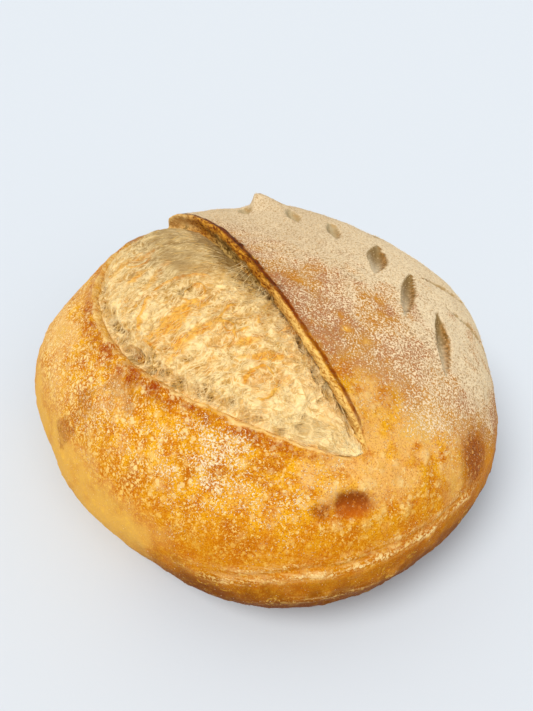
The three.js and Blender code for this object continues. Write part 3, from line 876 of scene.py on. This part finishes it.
def build_crumb(material):
    rows = np.radians(np.linspace(6, 174, 4 * CRUMB_ROWS))
    share = ridge_share(rows)
    open_rows = rows[(share > CRUMB_SHARES[0]) & (share < CRUMB_SHARES[1])]
    rows = np.linspace(open_rows[0], open_rows[-1], CRUMB_ROWS)
    amount = ear_amount(ridge_share(rows))
    right = turn_where(rows, lambda point: 2.6 * amount)
    left = turn_where(rows, lambda point: -1.5 * smooth(0, 12, width_at(point)) - width_at(point))
    across = np.linspace(0, 1, CRUMB_ACROSS)
    turns = right[:, None] + (left - right)[:, None] * across
    direction = slash_direction(rows[:, None], turns)
    plain = cast(SLASH_CENTRE, direction)
    share, offset = slash_share(plain), slash_offset(plain)
    width = opening_width(share)
    depth = -offset / np.maximum(width, 1e-6)
    tucked = mixed((0.5, 1.4), smooth(0.25, 0.4, share)) * smooth(1.0, 1.03, depth)
    height = crumb_height(share, offset, width) - tucked - 0.9 * smooth(0.2, 2.2, offset)
    relief, masks = crumb_relief(plain, depth, share)
    free = np.minimum(smooth(0, 0.05, across), smooth(1, 0.97, across))[None] * smooth(0, 10, width)
    point = plain + direction * (height + relief * free)[..., None]

    # The sheet is closed underneath, CRUMB_THICKNESS below its two long edges.
    below = point - CRUMB_THICKNESS * direction
    section = np.concatenate((point, below[:, -1:], below[:, :1]), 1)
    points = np.vstack((section.reshape(-1, 3), section[[0, -1]].mean(1)))
    marks = {}
    for name, values in masks.items():
        marks[name] = closed(np.concatenate((values, values[:, -1:], values[:, :1]), 1))
    faces = tube_faces(*section.shape[:2])
    return make_piece("crumb", points, faces, marks, material), point, depth


# ---- loose parts of crumb and flour ----

THREADS, EAR_THREADS = 3400, 90
EAR_THREAD_COLUMN = 15
THREAD_STEPS, THREAD_SIDES = 7, 4
THREAD_RADIUS = (0.05, 0.13)
THREAD_MARGIN = 12
EAR_SIDE_COLUMN = 20
GRAINS = 9000
GRAIN_SIZE = (0.10, 0.24)
GRAIN_LEAST_HEIGHT = 45


def thread_ends(crumb_points, depth, edge_points, random):
    """Start, middle and end of each thread, on the crumb or from the ear's torn face."""
    rows, columns = depth.shape
    edge = np.maximum(smooth(0.3, 0.02, depth), smooth(0.7, 0.95, depth))
    weight = (0.3 + edge) * (depth > 0.0) * (depth < 0.98)
    weight *= 1 - 0.85 * smooth(0.5, 0.62, np.arange(rows) / rows)[:, None] * (depth < 0.6)
    weight[:THREAD_MARGIN] = 0
    weight[-THREAD_MARGIN:] = 0
    chosen = random.choice(weight.size, THREADS, p=(weight / weight.sum()).ravel())
    row, column = np.unravel_index(chosen, weight.shape)
    end_row = np.clip(row + random.normal(0, 9, THREADS).astype(int), 2, rows - 3)
    end_column = np.clip(column + random.uniform(5, 20, THREADS).astype(int), 3, columns - 4)
    start, end = crumb_points[row, column], crumb_points[end_row, end_column]
    # Those from the ear start at the lower edge of its torn face.
    count = EAR_THREADS
    ear_share = slash_share(edge_points)
    within = np.flatnonzero((ear_share > 0.06) & (ear_share < 0.5))
    start[:count] = edge_points[random.choice(within, count)]
    beside_ear = crumb_points[:, EAR_SIDE_COLUMN]
    near_row = np.abs(beside_ear[None] - start[:count, None]).sum(-1).argmin(1)
    end_row[:count] = np.clip(near_row + random.normal(0, 10, count).astype(int), 2, rows - 3)
    end_column[:count] = random.integers(8, 30, count)
    end[:count] = crumb_points[end_row[:count], end_column[:count]]
    middle = crumb_points[(row + end_row) // 2, (column + end_column) // 2]
    middle[:count] = (start[:count] + end[:count]) / 2
    return start, middle, end


def build_threads(crumb_points, depth, edge_points, material):
    """Fine strands of torn crumb: thin tubes over the hollows, and some from the ear's face."""
    random = np.random.default_rng(19)
    start, middle, end = thread_ends(crumb_points, depth, edge_points, random)
    outward = unit(middle - SLASH_CENTRE)
    lifted = np.maximum(((middle - (start + end) / 2) * outward).sum(-1), 0) + 0.1
    t = np.linspace(0, 1, THREAD_STEPS)
    arch, twist = np.sin(np.pi * t), np.sin(2 * np.pi * t)
    centre = start[:, None] + (end - start)[:, None] * t[:, None]
    centre = centre + (arch * lifted[:, None])[..., None] * outward[:, None]
    bow = arch * random.normal(0, 0.9, (THREADS, 1)) + twist * random.normal(0, 0.3, (THREADS, 1))
    centre = centre + bow[..., None] * ALONG
    beside = unit(np.cross(unit(end - start + 1e-6), outward))
    radius = random.uniform(*THREAD_RADIUS, (THREADS, 1)) * (0.45 + 0.55 * arch)
    angle = (np.arange(THREAD_SIDES) * 2 * math.pi / THREAD_SIDES)[:, None]
    ring = np.cos(angle) * beside[:, None, None] + np.sin(angle) * outward[:, None, None]
    tubes = centre[:, :, None] + ring * radius[..., None, None]
    size = THREAD_STEPS * THREAD_SIDES
    points = np.concatenate((tubes.reshape(THREADS, size, 3), start[:, None], end[:, None]), 1)
    pattern = tube_faces(THREAD_STEPS, THREAD_SIDES)
    faces = [tuple(v + i * (size + 2) for v in face) for i in range(THREADS) for face in pattern]
    return make_piece("threads", points.reshape(-1, 3), faces, {}, material)


def build_grains(points, flour, material):
    """Loose grains of flour, as small eight-sided lumps lying on the crust."""
    random = np.random.default_rng(7)
    weight = np.clip(flour, 0, 1) ** 2.2 * (points[:, 2] > GRAIN_LEAST_HEIGHT)
    chosen = random.choice(len(points), GRAINS, p=weight / weight.sum())
    outward = unit(points[chosen] - WAIST)
    centre = points[chosen] + random.normal(0, 0.4, (GRAINS, 3)) * (1, 1, 0.35) + outward * 0.05
    corners = np.array(((1, 0, 0), (0, 1, 0), (-1, 0, 0), (0, -1, 0), (0, 0, 1), (0, 0, -1)), float)
    around = [(0, 1), (1, 2), (2, 3), (3, 0)]
    triangles = np.array([(a, b, 4) for a, b in around] + [(b, a, 5) for a, b in around])
    size = random.uniform(*GRAIN_SIZE, (GRAINS, 1, 1)) * random.uniform(0.7, 1.3, (GRAINS, 1, 3))
    lumps = centre[:, None] + corners * size
    faces = (triangles[None] + 6 * np.arange(GRAINS)[:, None, None]).reshape(-1, 3)
    return make_piece("flour", lumps.reshape(-1, 3), faces.tolist(), {}, material)


# ---- meshes ----


def closed(values):
    """Values of a grid's points as one list, with zeros for the two points that close it."""
    flat = values.reshape(-1, *values.shape[2:])
    return np.concatenate((flat, np.zeros((2, *flat.shape[1:]))))


def tube_faces(rows, columns):
    """Faces of a grid that wraps round its columns, closed by a last point at each end."""
    front, back = rows * columns, rows * columns + 1
    i, j = np.meshgrid(np.arange(rows - 1), np.arange(columns), indexing="ij")
    a = i * columns + j
    b = i * columns + (j + 1) % columns
    faces = np.stack((a, b, b + columns, a + columns), -1).reshape(-1, 4).tolist()
    last = (rows - 1) * columns
    for m in range(columns):
        n = (m + 1) % columns
        faces.append((front, n, m))
        faces.append((back, last + m, last + n))
    return faces


def make_piece(name, points, faces, marks, material):
    mesh = bpy.data.meshes.new(name)
    mesh.from_pydata(((points + SHIFT) * MM).tolist(), [], faces)
    for mark, values in marks.items():
        kind, field = ("FLOAT_VECTOR", "vector") if values.ndim == 2 else ("FLOAT", "value")
        attribute = mesh.attributes.new(mark, kind, "POINT")
        attribute.data.foreach_set(field, values.astype(np.float32).ravel())
    mesh.shade_smooth()
    mesh.materials.append(material)
    piece = bpy.data.objects.new(name, mesh)
    bpy.context.scene.collection.objects.link(piece)
    return piece


# ---- materials ----


STAGE_LIGHT = 1.15
BUMP_HEIGHT = 0.7
# Metres above the floor and right of the middle between which the crust's colours change; the
# flour's change to the right is painted light.
LOWER = (0.069, 0.038)
RIGHTWARD = (0.01, 0.075)


def colour(red, green, blue):
    """The colour that the stage's light turns into one on the screen, given as 0 to 255."""
    shown = np.array((red, green, blue)) / 255
    linear = np.where(shown > 0.04045, ((shown + 0.055) / 1.055) ** 2.4, shown / 12.92)
    return (*(linear / STAGE_LIGHT).tolist(), 1.0)


class Paint:
    """Builds the node graph of one material. Sizes are in millimetres."""

    def __init__(self, name):
        self.material = bpy.data.materials.new(name)
        self.material.use_nodes = True
        self.tree = self.material.node_tree
        self.shader = self.tree.nodes["Principled BSDF"]
        self.place = self.tree.nodes.new("ShaderNodeTexCoord").outputs["Object"]

    def node(self, kind, inputs=(), **settings):
        made = self.tree.nodes.new("ShaderNode" + kind)
        for key, value in settings.items():
            setattr(made, key, value)
        for key, value in dict(inputs).items():
            self.feed(made.inputs[key], value)
        return made

    def feed(self, socket, value):
        if isinstance(value, bpy.types.NodeSocket):
            self.tree.links.new(value, socket)
        else:
            socket.default_value = value

    def mark(self, name, output="Fac"):
        return self.node("Attribute", attribute_name=name).outputs[output]

    def axis(self, name):
        return self.node("SeparateXYZ", {"Vector": self.place}).outputs[name]

    def stretched(self, vector, *sizes):
        """Coordinates divided by a size along each axis."""
        scale = tuple(1 / (size * MM) for size in sizes)
        return self.node("Mapping", {"Vector": vector, "Scale": scale}).outputs["Vector"]

    def noise(self, size, detail=2.0, rough=0.55, twist=0.0, vector=None):
        """Noise of about 0.2 to 0.8."""
        inputs = {
            "Vector": vector or self.place,
            "Scale": 1 / (size * MM) if vector is None else 1.0,
            "Detail": detail,
            "Roughness": rough,
            "Distortion": twist,
        }
        return self.node("TexNoise", inputs).outputs["Fac"]

    def cells(self, vector, scale):
        """Distance to the nearest of points scattered one to a cube, and a number of each."""
        made = self.node("TexVoronoi", {"Vector": vector, "Scale": scale})
        chance = self.node("SeparateColor", {"Color": made.outputs["Color"]}).outputs[0]
        return made.outputs["Distance"], chance

    def spots(self, size, smallest, largest, wobble=0.25):
        """Round spots scattered one to a cube of that size, with ragged outlines."""
        shake = self.noise(size * 0.35, 2)
        distance, chance = self.cells(self.place, 1 / (size * MM))
        radius = self.ramp(chance, 0.25, 1.0, smallest, largest)
        distance = self.math("MULTIPLY_ADD", shake, wobble, distance)
        inside_by = self.math("SUBTRACT", distance, radius)
        return self.ramp(inside_by, wobble / 2 + 0.07, wobble / 2 - 0.07)

    def rings(self, size, smallest, largest):
        """Thin rings, some of the cubes of that size holding one."""
        shake = self.noise(size * 0.3, 2)
        distance, chance = self.cells(self.place, 1 / (size * MM))
        radius = self.math("ADD", self.ramp(chance, 0.3, 1.0, smallest, largest), 0.08)
        distance = self.math("MULTIPLY_ADD", shake, 0.16, distance)
        beside = self.math("ABSOLUTE", self.math("SUBTRACT", distance, radius))
        return self.times(self.ramp(beside, 0.05, 0.015), self.ramp(chance, 0.35, 0.45))

    def warped(self, vector, size, shift):
        """Coordinates pushed about by noise."""
        inputs = {"Vector": vector, "Scale": 1 / (size * MM), "Detail": 2.0}
        cloud = self.node("TexNoise", inputs).outputs["Color"]
        away = self.node("VectorMath", {0: cloud, 1: (0.5,) * 3}, operation="SUBTRACT").outputs[0]
        sizes = {0: away, 1: (shift * MM,) * 3, 2: vector}
        return self.node("VectorMath", sizes, operation="MULTIPLY_ADD").outputs[0]

    def math(self, operation, a, b=0.0, c=None, clamp=False):
        made = self.node("Math", operation=operation, use_clamp=clamp)
        for socket, value in zip(made.inputs, (a, b, c)):
            if value is not None:
                self.feed(socket, value)
        return made.outputs[0]

    def times(self, a, b, clamp=False):
        return self.math("MULTIPLY", a, b, clamp=clamp)

    def total(self, *terms):
        """Sum of (socket, weight) pairs."""
        value = 0.0
        for socket, weight in terms:
            value = self.math("MULTIPLY_ADD", socket, weight, value)
        return value

    def ramp(self, value, start, end, low=0.0, high=1.0):
        inputs = {"Value": value, "From Min": start, "From Max": end, "To Min": low, "To Max": high}
        return self.node("MapRange", inputs, interpolation_type="SMOOTHSTEP").outputs["Result"]

    def mix(self, factor, a, b):
        """A blend from a to b, each a socket or a colour on the screen."""
        made = self.node("Mix", data_type="RGBA", clamp_factor=True)
        self.feed(made.inputs[0], factor)
        for socket, value in ((made.inputs[6], a), (made.inputs[7], b)):
            self.feed(socket, colour(*value) if isinstance(value, tuple) else value)
        return made.outputs[2]

    def tones(self, value, start, end, first, second):
        """A blend from one colour to another as a value goes from start to end."""
        return self.mix(self.ramp(value, start, end), first, second)

    def layered(self, base, *layers):
        """Colours laid one over another, each given as how much of it shows and the colour."""
        for amount, tone in layers:
            base = self.mix(amount, base, tone)
        return base

    def finish(self, base, roughness, specular, height=None):
        self.feed(self.shader.inputs["Base Color"], base)
        self.feed(self.shader.inputs["Roughness"], roughness)
        if height:
            inputs = {"Height": height, "Distance": BUMP_HEIGHT * MM, "Strength": 1.0}
            self.feed(self.shader.inputs["Normal"], self.node("Bump", inputs).outputs["Normal"])
        self.shader.inputs["Specular IOR Level"].default_value = specular
        return self.material


def amber_crust(paint, patchy, mottle, grit, low):
    """Amber crust, browner towards the foot, partly its own colour and partly painted shade under
    the loaf.
    """
    toast = paint.mark("toast")
    return paint.layered(
        paint.tones(patchy, 0.34, 0.64, (208, 116, 0), (242, 172, 16)),
        (paint.ramp(toast, 0.1, 0.8, 0, 0.9), (186, 94, 2)),
        (paint.ramp(toast, -0.1, -0.9), (242, 182, 100)),
        (paint.times(low, 0.55), (192, 104, 0)),
        (paint.ramp(mottle, 0.52, 0.70, 0, 0.5), (248, 192, 58)),
        (paint.ramp(mottle, 0.46, 0.30, 0, 0.5), (182, 88, 0)),
        (paint.ramp(grit, 0.53, 0.66, 0, 0.45), (250, 198, 82)),
        (paint.ramp(grit, 0.47, 0.34, 0, 0.6), (164, 82, 0)),
        (paint.times(low, 0.45), (204, 120, 0)),
        (paint.ramp(toast, -0.6, -1.7, 0, 0.7), (238, 186, 84)),
        (paint.ramp(paint.mark("foot"), 0.0, 1.0, 0, 0.92), (112, 52, 0)),
    )


def pale_dots(paint, base, mottle, low, crease):
    """Pale dots, spots, blisters and rings, fewer towards the foot. Also gives the dots."""
    dots = paint.total((crease, 0.8), (paint.mark("dots"), 1.0))
    small = paint.total((paint.noise(1.1, 2, 0.55), 0.68), (paint.noise(0.5, 1), 0.32))
    limit = paint.math("MULTIPLY_ADD", dots, -0.10, 0.65)
    dot = paint.ramp(paint.math("SUBTRACT", small, limit), -0.02, 0.035, 0, 0.85)
    lower = paint.total((low, 0.75), (paint.mark("foot"), 0.8))
    fewer = paint.math("MAXIMUM", paint.ramp(lower, 0.0, 1.0, 1.0, 0.15), crease)
    dot = paint.times(dot, fewer)
    spots = paint.math("MAXIMUM", paint.spots(3.2, 0.02, 0.34), paint.spots(2.1, 0.0, 0.34))
    spots = paint.times(paint.times(spots, dots), fewer)
    blister = paint.times(paint.mark("blister"), paint.ramp(mottle, 0.3, 0.6, 0.2, 0.6))
    rings = paint.times(paint.rings(9, 0.10, 0.32), paint.ramp(mottle, 0.42, 0.60, 0.0, 0.45))
    rings = paint.times(rings, paint.ramp(paint.mark("flour"), 0.5, 0.2))
    yellower = paint.math("SUBTRACT", low, crease, clamp=True)
    tone = paint.mix(yellower, (255, 222, 150), (250, 198, 64))
    amounts = (dot, paint.times(spots, 0.85), paint.times(blister, fewer), rings)
    return paint.layered(base, *((amount, tone) for amount in amounts)), dot


def crease_lip_and_dent(paint, base, mottle, crease):
    streak = paint.noise(1, 3, 0.6, 0.3, paint.stretched(paint.place, 8, 8, 1.2))
    streak = paint.times(paint.ramp(streak, 0.46, 0.62), crease)
    golden = paint.tones(mottle, 0.35, 0.65, (240, 184, 90), (262, 224, 146))
    golden = paint.mix(paint.times(paint.mark("near"), 0.4), golden, (262, 226, 154))
    # The dent's darker brown, with painted shade over its upper part.
    dent = paint.mix(paint.mark("dent_shade"), (196, 98, 18), (130, 54, 0))
    dent = paint.mix(paint.ramp(mottle, 0.5, 0.66, 0, 0.45), dent, (222, 136, 52))
    # Painted shade beyond the rolled lip, over a browner band.
    shade = paint.times(paint.mark("rim_shade"), paint.ramp(mottle, 0.7, 0.3, 0.45, 0.95))
    return paint.layered(
        base,
        (paint.times(streak, 0.5), (255, 214, 142)),
        (shade, (160, 62, 2)),
        (paint.times(paint.mark("rim"), 0.95), golden),
        (paint.times(paint.mark("dent"), 0.95), dent),
    )


def scorched_crust(paint, base, mottle, grit):
    scorch = paint.mark("scorch")
    tone = paint.tones(grit, 0.38, 0.62, (112, 40, 0), (190, 104, 22))
    burn = paint.ramp(paint.total((scorch, 1.0), (mottle, 0.9), (grit, 0.5)), 0.85, 1.65, 0, 0.95)
    burn = paint.times(burn, paint.ramp(scorch, 0.02, 0.2))
    blots = paint.times(paint.spots(2.6, 0.05, 0.36), paint.times(burn, 0.75))
    return paint.layered(base, (burn, tone), (blots, (226, 168, 92)))


def floured(paint, base, patchy, grains):
    """An even veil where the flour is thick, grains, and specks rubbed bare. Also gives how
    much of a grain shows."""
    flour, right = paint.mark("flour"), paint.ramp(paint.axis("X"), *RIGHTWARD)
    dusty = paint.noise(1.2, 3, 0.7)
    # Painted light: the veil is paler towards the right of the loaf.
    veil = paint.mix(right, (214, 184, 137), (236, 208, 162))
    veil = paint.mix(paint.ramp(dusty, 0.52, 0.38, 0, 0.75), veil, (184, 142, 92))
    rubbed = paint.times(paint.ramp(dusty, 0.49, 0.37), paint.ramp(flour, 0.6, 0.9, 0.0, 1.0))
    rubbed = paint.times(rubbed, paint.ramp(patchy, 0.38, 0.62, 0.5, 1.0))
    rubbed = paint.times(rubbed, paint.ramp(flour, 0.98, 0.84, 0.45, 1.0))
    limit = paint.math("MULTIPLY_ADD", flour, -0.24, 0.655)
    speck = paint.ramp(paint.math("SUBTRACT", grains, limit), -0.018, 0.03, 0, 0.96)
    # Painted light: thick flour is paler towards the right too.
    thick = paint.mix(right, (236, 212, 172), (252, 230, 190))
    thick = paint.mix(paint.ramp(flour, 0.74, 0.98), (255, 228, 186), thick)
    veiled = paint.ramp(flour, 0.7, 1.0, 0, 0.75)
    layers = ((veiled, veil), (speck, thick), (rubbed, (166, 120, 72)))
    return paint.layered(base, *layers), speck


def torn_faces(paint, base, fibre):
    """The torn side of the ear and the hood, thinner near the front, and the charred crest."""
    near, far = paint.mark("near"), paint.ramp(paint.mark("far"), 0.0, 1.0, 0, 0.85)
    flesh = paint.tones(fibre, 0.38, 0.62, (140, 70, 4), (222, 156, 50))
    flesh = paint.layered(
        flesh,
        (paint.ramp(fibre, 0.42, 0.32), (92, 30, 2)),
        (near, paint.tones(fibre, 0.34, 0.60, (186, 116, 30), (252, 206, 116))),
        (far, paint.tones(fibre, 0.38, 0.60, (214, 158, 76), (250, 214, 140))),
        # Painted shade in the pocket under the ear, over a crumb-like colour.
        (paint.mark("pocket"), paint.tones(fibre, 0.36, 0.66, (104, 72, 22), (212, 172, 98))),
    )
    burnt = paint.tones(fibre, 0.36, 0.64, (40, 8, 4), (126, 50, 8))
    burnt = paint.mix(paint.times(near, 0.8), burnt, (138, 52, 4))
    charred = paint.ramp(paint.mark("char"), 0.0, 1.0, 0, 0.97)
    return paint.layered(base, (paint.mark("torn"), flesh), (charred, burnt))


def leaf_cuts(paint, base):
    """The insides of the leaf cuts: a pale floor, darker towards each cut's back end with painted
    shade, and a browner steep wall, partly painted shade.
    """
    soft, faint = paint.noise(1.4, 3), paint.mark("faint")
    # Painted shade: the floor darkens towards the back end of each cut.
    front = paint.math("MULTIPLY_ADD", soft, 0.5, paint.mark("cut_front"))
    grey = paint.tones(front, 0.45, 1.15, (150, 120, 70), (228, 208, 172))
    grey = paint.mix(faint, grey, (196, 176, 136))
    # The steep wall's brown is partly painted shade.
    brown = paint.tones(soft, 0.35, 0.65, (126, 84, 28), (196, 140, 74))
    brown = paint.mix(faint, brown, (200, 162, 106))
    floor = paint.ramp(paint.mark("cut"), 0.2, 0.8, 0, 0.95)
    return paint.layered(base, (floor, grey), (paint.mark("wall"), brown))


def crust_material():
    paint = Paint("crust_baked")
    flour, crease = paint.mark("flour"), paint.mark("crease")
    patchy, mottle = paint.noise(7, 4, 0.6), paint.noise(1.3, 3, 0.65)
    grit, low = paint.noise(0.5, 2, 0.6), paint.ramp(paint.axis("Z"), *LOWER)
    base = amber_crust(paint, patchy, mottle, grit, low)
    base, dot = pale_dots(paint, base, mottle, low, crease)
    base = crease_lip_and_dent(paint, base, mottle, crease)

    # A browner crust under the flour.
    under = paint.times(paint.ramp(flour, 0.04, 0.4, 0, 0.8), paint.mark("field"))
    brown = paint.tones(paint.noise(16, 3), 0.42, 0.58, (198, 134, 54), (180, 124, 88))
    base = paint.mix(under, base, brown)
    base = scorched_crust(paint, base, mottle, grit)
    grains = paint.total((paint.noise(0.75, 2, 0.55, 0.1), 0.7), (paint.noise(0.36, 1), 0.3))
    base, speck = floured(paint, base, patchy, grains)
    fibre = paint.stretched(paint.mark("grain", "Vector"), 3.0, 1.0, 1.0)
    fibre = paint.noise(1, 3, 0.65, 0.8, fibre)
    base = leaf_cuts(paint, torn_faces(paint, base, fibre))
    height = paint.total((mottle, 0.5), (dot, 0.1), (speck, 0.18), (grains, 0.2), (fibre, 0.1))
    return paint.finish(base, paint.ramp(flour, 0.0, 0.7, 0.55, 0.9), 0.035, height)


# Layers of crossing strands in the crumb's colour: turn from across the slash, width, length.
STRAND_LAYERS = ((0, 2.0, 13.0), (42, 2.6, 11.0), (-38, 2.4, 12.0), (85, 3.2, 8.0))
# Cells in the crumb's colour: size along and across the slash, and how wide their walls look.
CELL_LAYERS = ((2.6, 3.6, 0.13), (5.5, 7.5, 0.075))


def crumb_strands(paint, thread, lively):
    """Thin pale strands; those across the slash run all over, the others where it is lively."""
    strands = 0.0
    for turn, width, length in STRAND_LAYERS:
        angled = paint.node("VectorRotate", {"Vector": thread, "Angle": math.radians(turn)})
        vector = paint.stretched(angled.outputs["Vector"], width, length, 9)
        wave = paint.math("SUBTRACT", paint.noise(1, 1, 0.5, 0.6, vector), 0.5)
        layer = paint.ramp(paint.math("ABSOLUTE", wave), 0.055, 0.012)
        if turn:
            layer = paint.times(layer, lively)
        strands = paint.math("MAXIMUM", strands, layer)
    return strands


def crumb_cells(paint, thread):
    """Walls of the crumb's cells, and their hearts, which take painted shade."""
    walls, hearts = 0.0, 0.0
    bent = paint.warped(thread, 5, 5.0)
    for size, long, thick in CELL_LAYERS:
        vector = paint.stretched(bent, size, long, size)
        inputs = {"Vector": vector, "Scale": 1.0}
        edge = paint.node("TexVoronoi", inputs, feature="DISTANCE_TO_EDGE").outputs["Distance"]
        distance, chance = paint.cells(vector, 1.0)
        heart = paint.times(paint.ramp(distance, 0.62, 0.2), paint.ramp(chance, 0.45, 0.7))
        walls = paint.math("MAXIMUM", walls, paint.ramp(edge, thick, 0.2 * thick))
        hearts = paint.math("MAXIMUM", hearts, heart)
    return walls, hearts


def crumb_material():
    paint = Paint("crumb_torn")
    toast, high, calm, shade, hollow = map(paint.mark, ("toast", "high", "calm", "shade", "hollow"))
    lively = paint.ramp(calm, 0.0, 0.8, 1.0, 0.15)
    thread = paint.mark("thread", "Vector")
    silk = paint.noise(1, 3, 0.62, 0.6, paint.stretched(thread, 0.5, 4.5, 5))
    coarse = paint.noise(1, 2, 0.55, 0.5, paint.stretched(thread, 1.5, 7, 7))
    cloudy, blotchy = paint.noise(9, 3, 0.55), paint.noise(3.2, 3, 0.55, 0.5)
    strands = crumb_strands(paint, thread, lively)
    strands = paint.times(strands, paint.ramp(cloudy, 0.40, 0.58, 0.15, 0.8))
    walls, hearts = crumb_cells(paint, thread)
    walls = paint.times(walls, paint.ramp(blotchy, 0.36, 0.52, 0.15, 1.0))
    walls, hearts = paint.times(walls, lively), paint.times(hearts, lively)
    # Painted shade: the far part of the crumb greyer and darker.
    grey = paint.times(paint.mark("grey"), paint.ramp(cloudy, 0.66, 0.4, 0.6, 1.0))
    base = paint.layered(
        paint.tones(cloudy, 0.38, 0.60, (232, 172, 80), (248, 206, 126)),
        (paint.ramp(blotchy, 0.48, 0.34, 0, 0.7), (190, 138, 56)),
        (paint.ramp(blotchy, 0.55, 0.67, 0, 0.5), (244, 176, 52)),
        (paint.ramp(coarse, 0.47, 0.33, 0, 0.5), (202, 140, 46)),
        (paint.ramp(silk, 0.47, 0.36, 0, 0.55), (184, 122, 32)),
        # Painted shade in the cells' hearts.
        (paint.times(hearts, 0.75), (186, 136, 58)),
        (paint.times(calm, 0.4), (210, 180, 128)),
        # Painted shade over the far part and in the recess beside the ear.
        (grey, (152, 124, 78)),
        (paint.ramp(shade, 0.05, 0.95, 0, 0.85), (138, 104, 48)),
        (paint.times(toast, paint.ramp(coarse, 0.43, 0.59, 0.2, 0.92), clamp=True), (228, 144, 22)),
        (paint.times(toast, paint.ramp(silk, 0.50, 0.60, 0, 0.9), clamp=True), (196, 94, 0)),
        # Painted shade in the hollows.
        (paint.ramp(hollow, 0.1, 0.8, 0, 0.9), (146, 108, 46)),
    )
    # Strands, walls and high places are paler than the rest, partly as painted highlight, and so is
    # the front tip.
    pale = paint.layered(
        paint.mix(paint.ramp(toast, 0.2, 0.7, 0, 0.9), (264, 236, 174), (252, 190, 70)),
        # Painted shade dims the pale parts over the far part and beside the ear.
        (paint.times(grey, 0.6), (220, 196, 150)),
        (paint.ramp(shade, 0.0, 1.0, 0, 0.7), (200, 168, 108)),
    )
    # Pale parts show less in the hollows, where the shade is painted.
    open_parts = paint.ramp(hollow, 0.1, 0.9, 1.0, 0.3)
    base = paint.mix(paint.times(paint.mark("tip"), 0.45), base, pale)
    for mask, strength in ((paint.ramp(high, 0.3, 0.85), 0.4), (walls, 0.75), (strands, 0.7)):
        base = paint.mix(paint.times(paint.times(mask, open_parts), strength), base, pale)
    height = paint.total((coarse, 0.5), (silk, 0.3), (strands, 0.2), (walls, 0.25), (hearts, -0.3))
    return paint.finish(base, 0.8, 0.1, height)


def plain_material(name, size, dark, light, roughness):
    paint = Paint(name)
    base = paint.tones(paint.noise(size, 2), 0.35, 0.65, dark, light)
    return paint.finish(base, roughness, 0.1)


# ---- stage ----

CAMERA_PLACE = np.array((2.23, -217.5, 226.1))
CAMERA_TARGET = np.array((2.23, 4.43, 52.7))
CAMERA_ROLL = math.radians(2.5)
CAMERA_LENS = 28.35
FLOOR_HALF = 6.0
FLOOR_LEVEL = -0.0003
FLOOR_COLOUR = (224, 231, 239)
WORLD_COLOUR, WORLD_STRENGTH = (0.95, 0.97, 1.0, 1.0), 0.575
# Soft lights: name, direction, strength, angle they fill in degrees, and tint.
LIGHTS = (
    ("key", (0.5, 0.42, -1.0), 2.01, 30, (1.0, 0.98, 0.94)),
    ("fill", (-0.42, 0.85, -0.65), 0.88, 50, (1.0, 0.95, 0.87)),
)


def build_camera():
    ahead = unit(CAMERA_TARGET - CAMERA_PLACE)
    level = unit(np.cross(ahead, UP))
    upright = np.cross(level, ahead)
    right = math.cos(CAMERA_ROLL) * level + math.sin(CAMERA_ROLL) * upright
    data = bpy.data.cameras.new("camera")
    data.lens = CAMERA_LENS
    data.clip_start = 0.01
    camera = bpy.data.objects.new("camera", data)
    matrix = np.eye(4)
    matrix[:3, :3] = np.stack((right, np.cross(right, ahead), -ahead), 1)
    matrix[:3, 3] = CAMERA_PLACE * MM
    camera.matrix_world = Matrix(matrix.tolist())
    bpy.context.scene.collection.objects.link(camera)
    bpy.context.scene.camera = camera


def build_light(name, toward, strength, softness, tint):
    data = bpy.data.lights.new(name, "SUN")
    data.energy = strength
    data.angle = math.radians(softness)
    data.color = tint
    lamp = bpy.data.objects.new(name, data)
    lamp.rotation_euler = Vector(toward).to_track_quat("-Z", "Y").to_euler()
    bpy.context.scene.collection.objects.link(lamp)


def build_floor():
    paint = Paint("floor_plain")
    square = ((-1, -1), (1, -1), (1, 1), (-1, 1))
    corners = [(x * FLOOR_HALF, y * FLOOR_HALF, FLOOR_LEVEL) for x, y in square]
    mesh = bpy.data.meshes.new("floor")
    mesh.from_pydata(corners, [], [(0, 1, 2, 3)])
    mesh.materials.append(paint.finish(colour(*FLOOR_COLOUR), 0.9, 0.0))
    floor = bpy.data.objects.new("floor", mesh)
    bpy.context.scene.collection.objects.link(floor)


def build_stage():
    build_floor()
    world = bpy.data.worlds.new("studio")
    world.use_nodes = True
    background = world.node_tree.nodes["Background"].inputs
    background["Color"].default_value = WORLD_COLOUR
    background["Strength"].default_value = WORLD_STRENGTH
    bpy.context.scene.world = world
    for light in LIGHTS:
        build_light(*light)
    build_camera()
    bpy.context.scene.view_settings.view_transform = "Standard"


def main():
    crust, ear_edge, vertices, flour = build_crust(crust_material())
    crumb, crumb_points, depth = build_crumb(crumb_material())
    thread_paint = plain_material("thread_pale", 4, (240, 196, 110), (255, 232, 178), 0.75)
    grain_paint = plain_material("flour_grain", 3, (240, 206, 152), (255, 228, 180), 0.95)
    threads = build_threads(crumb_points, depth, ear_edge, thread_paint)
    grains = build_grains(vertices, flour, grain_paint)
    for piece in (crust, crumb, threads, grains):
        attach(piece, "root")
        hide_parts("loaf")
    build_stage()


main()
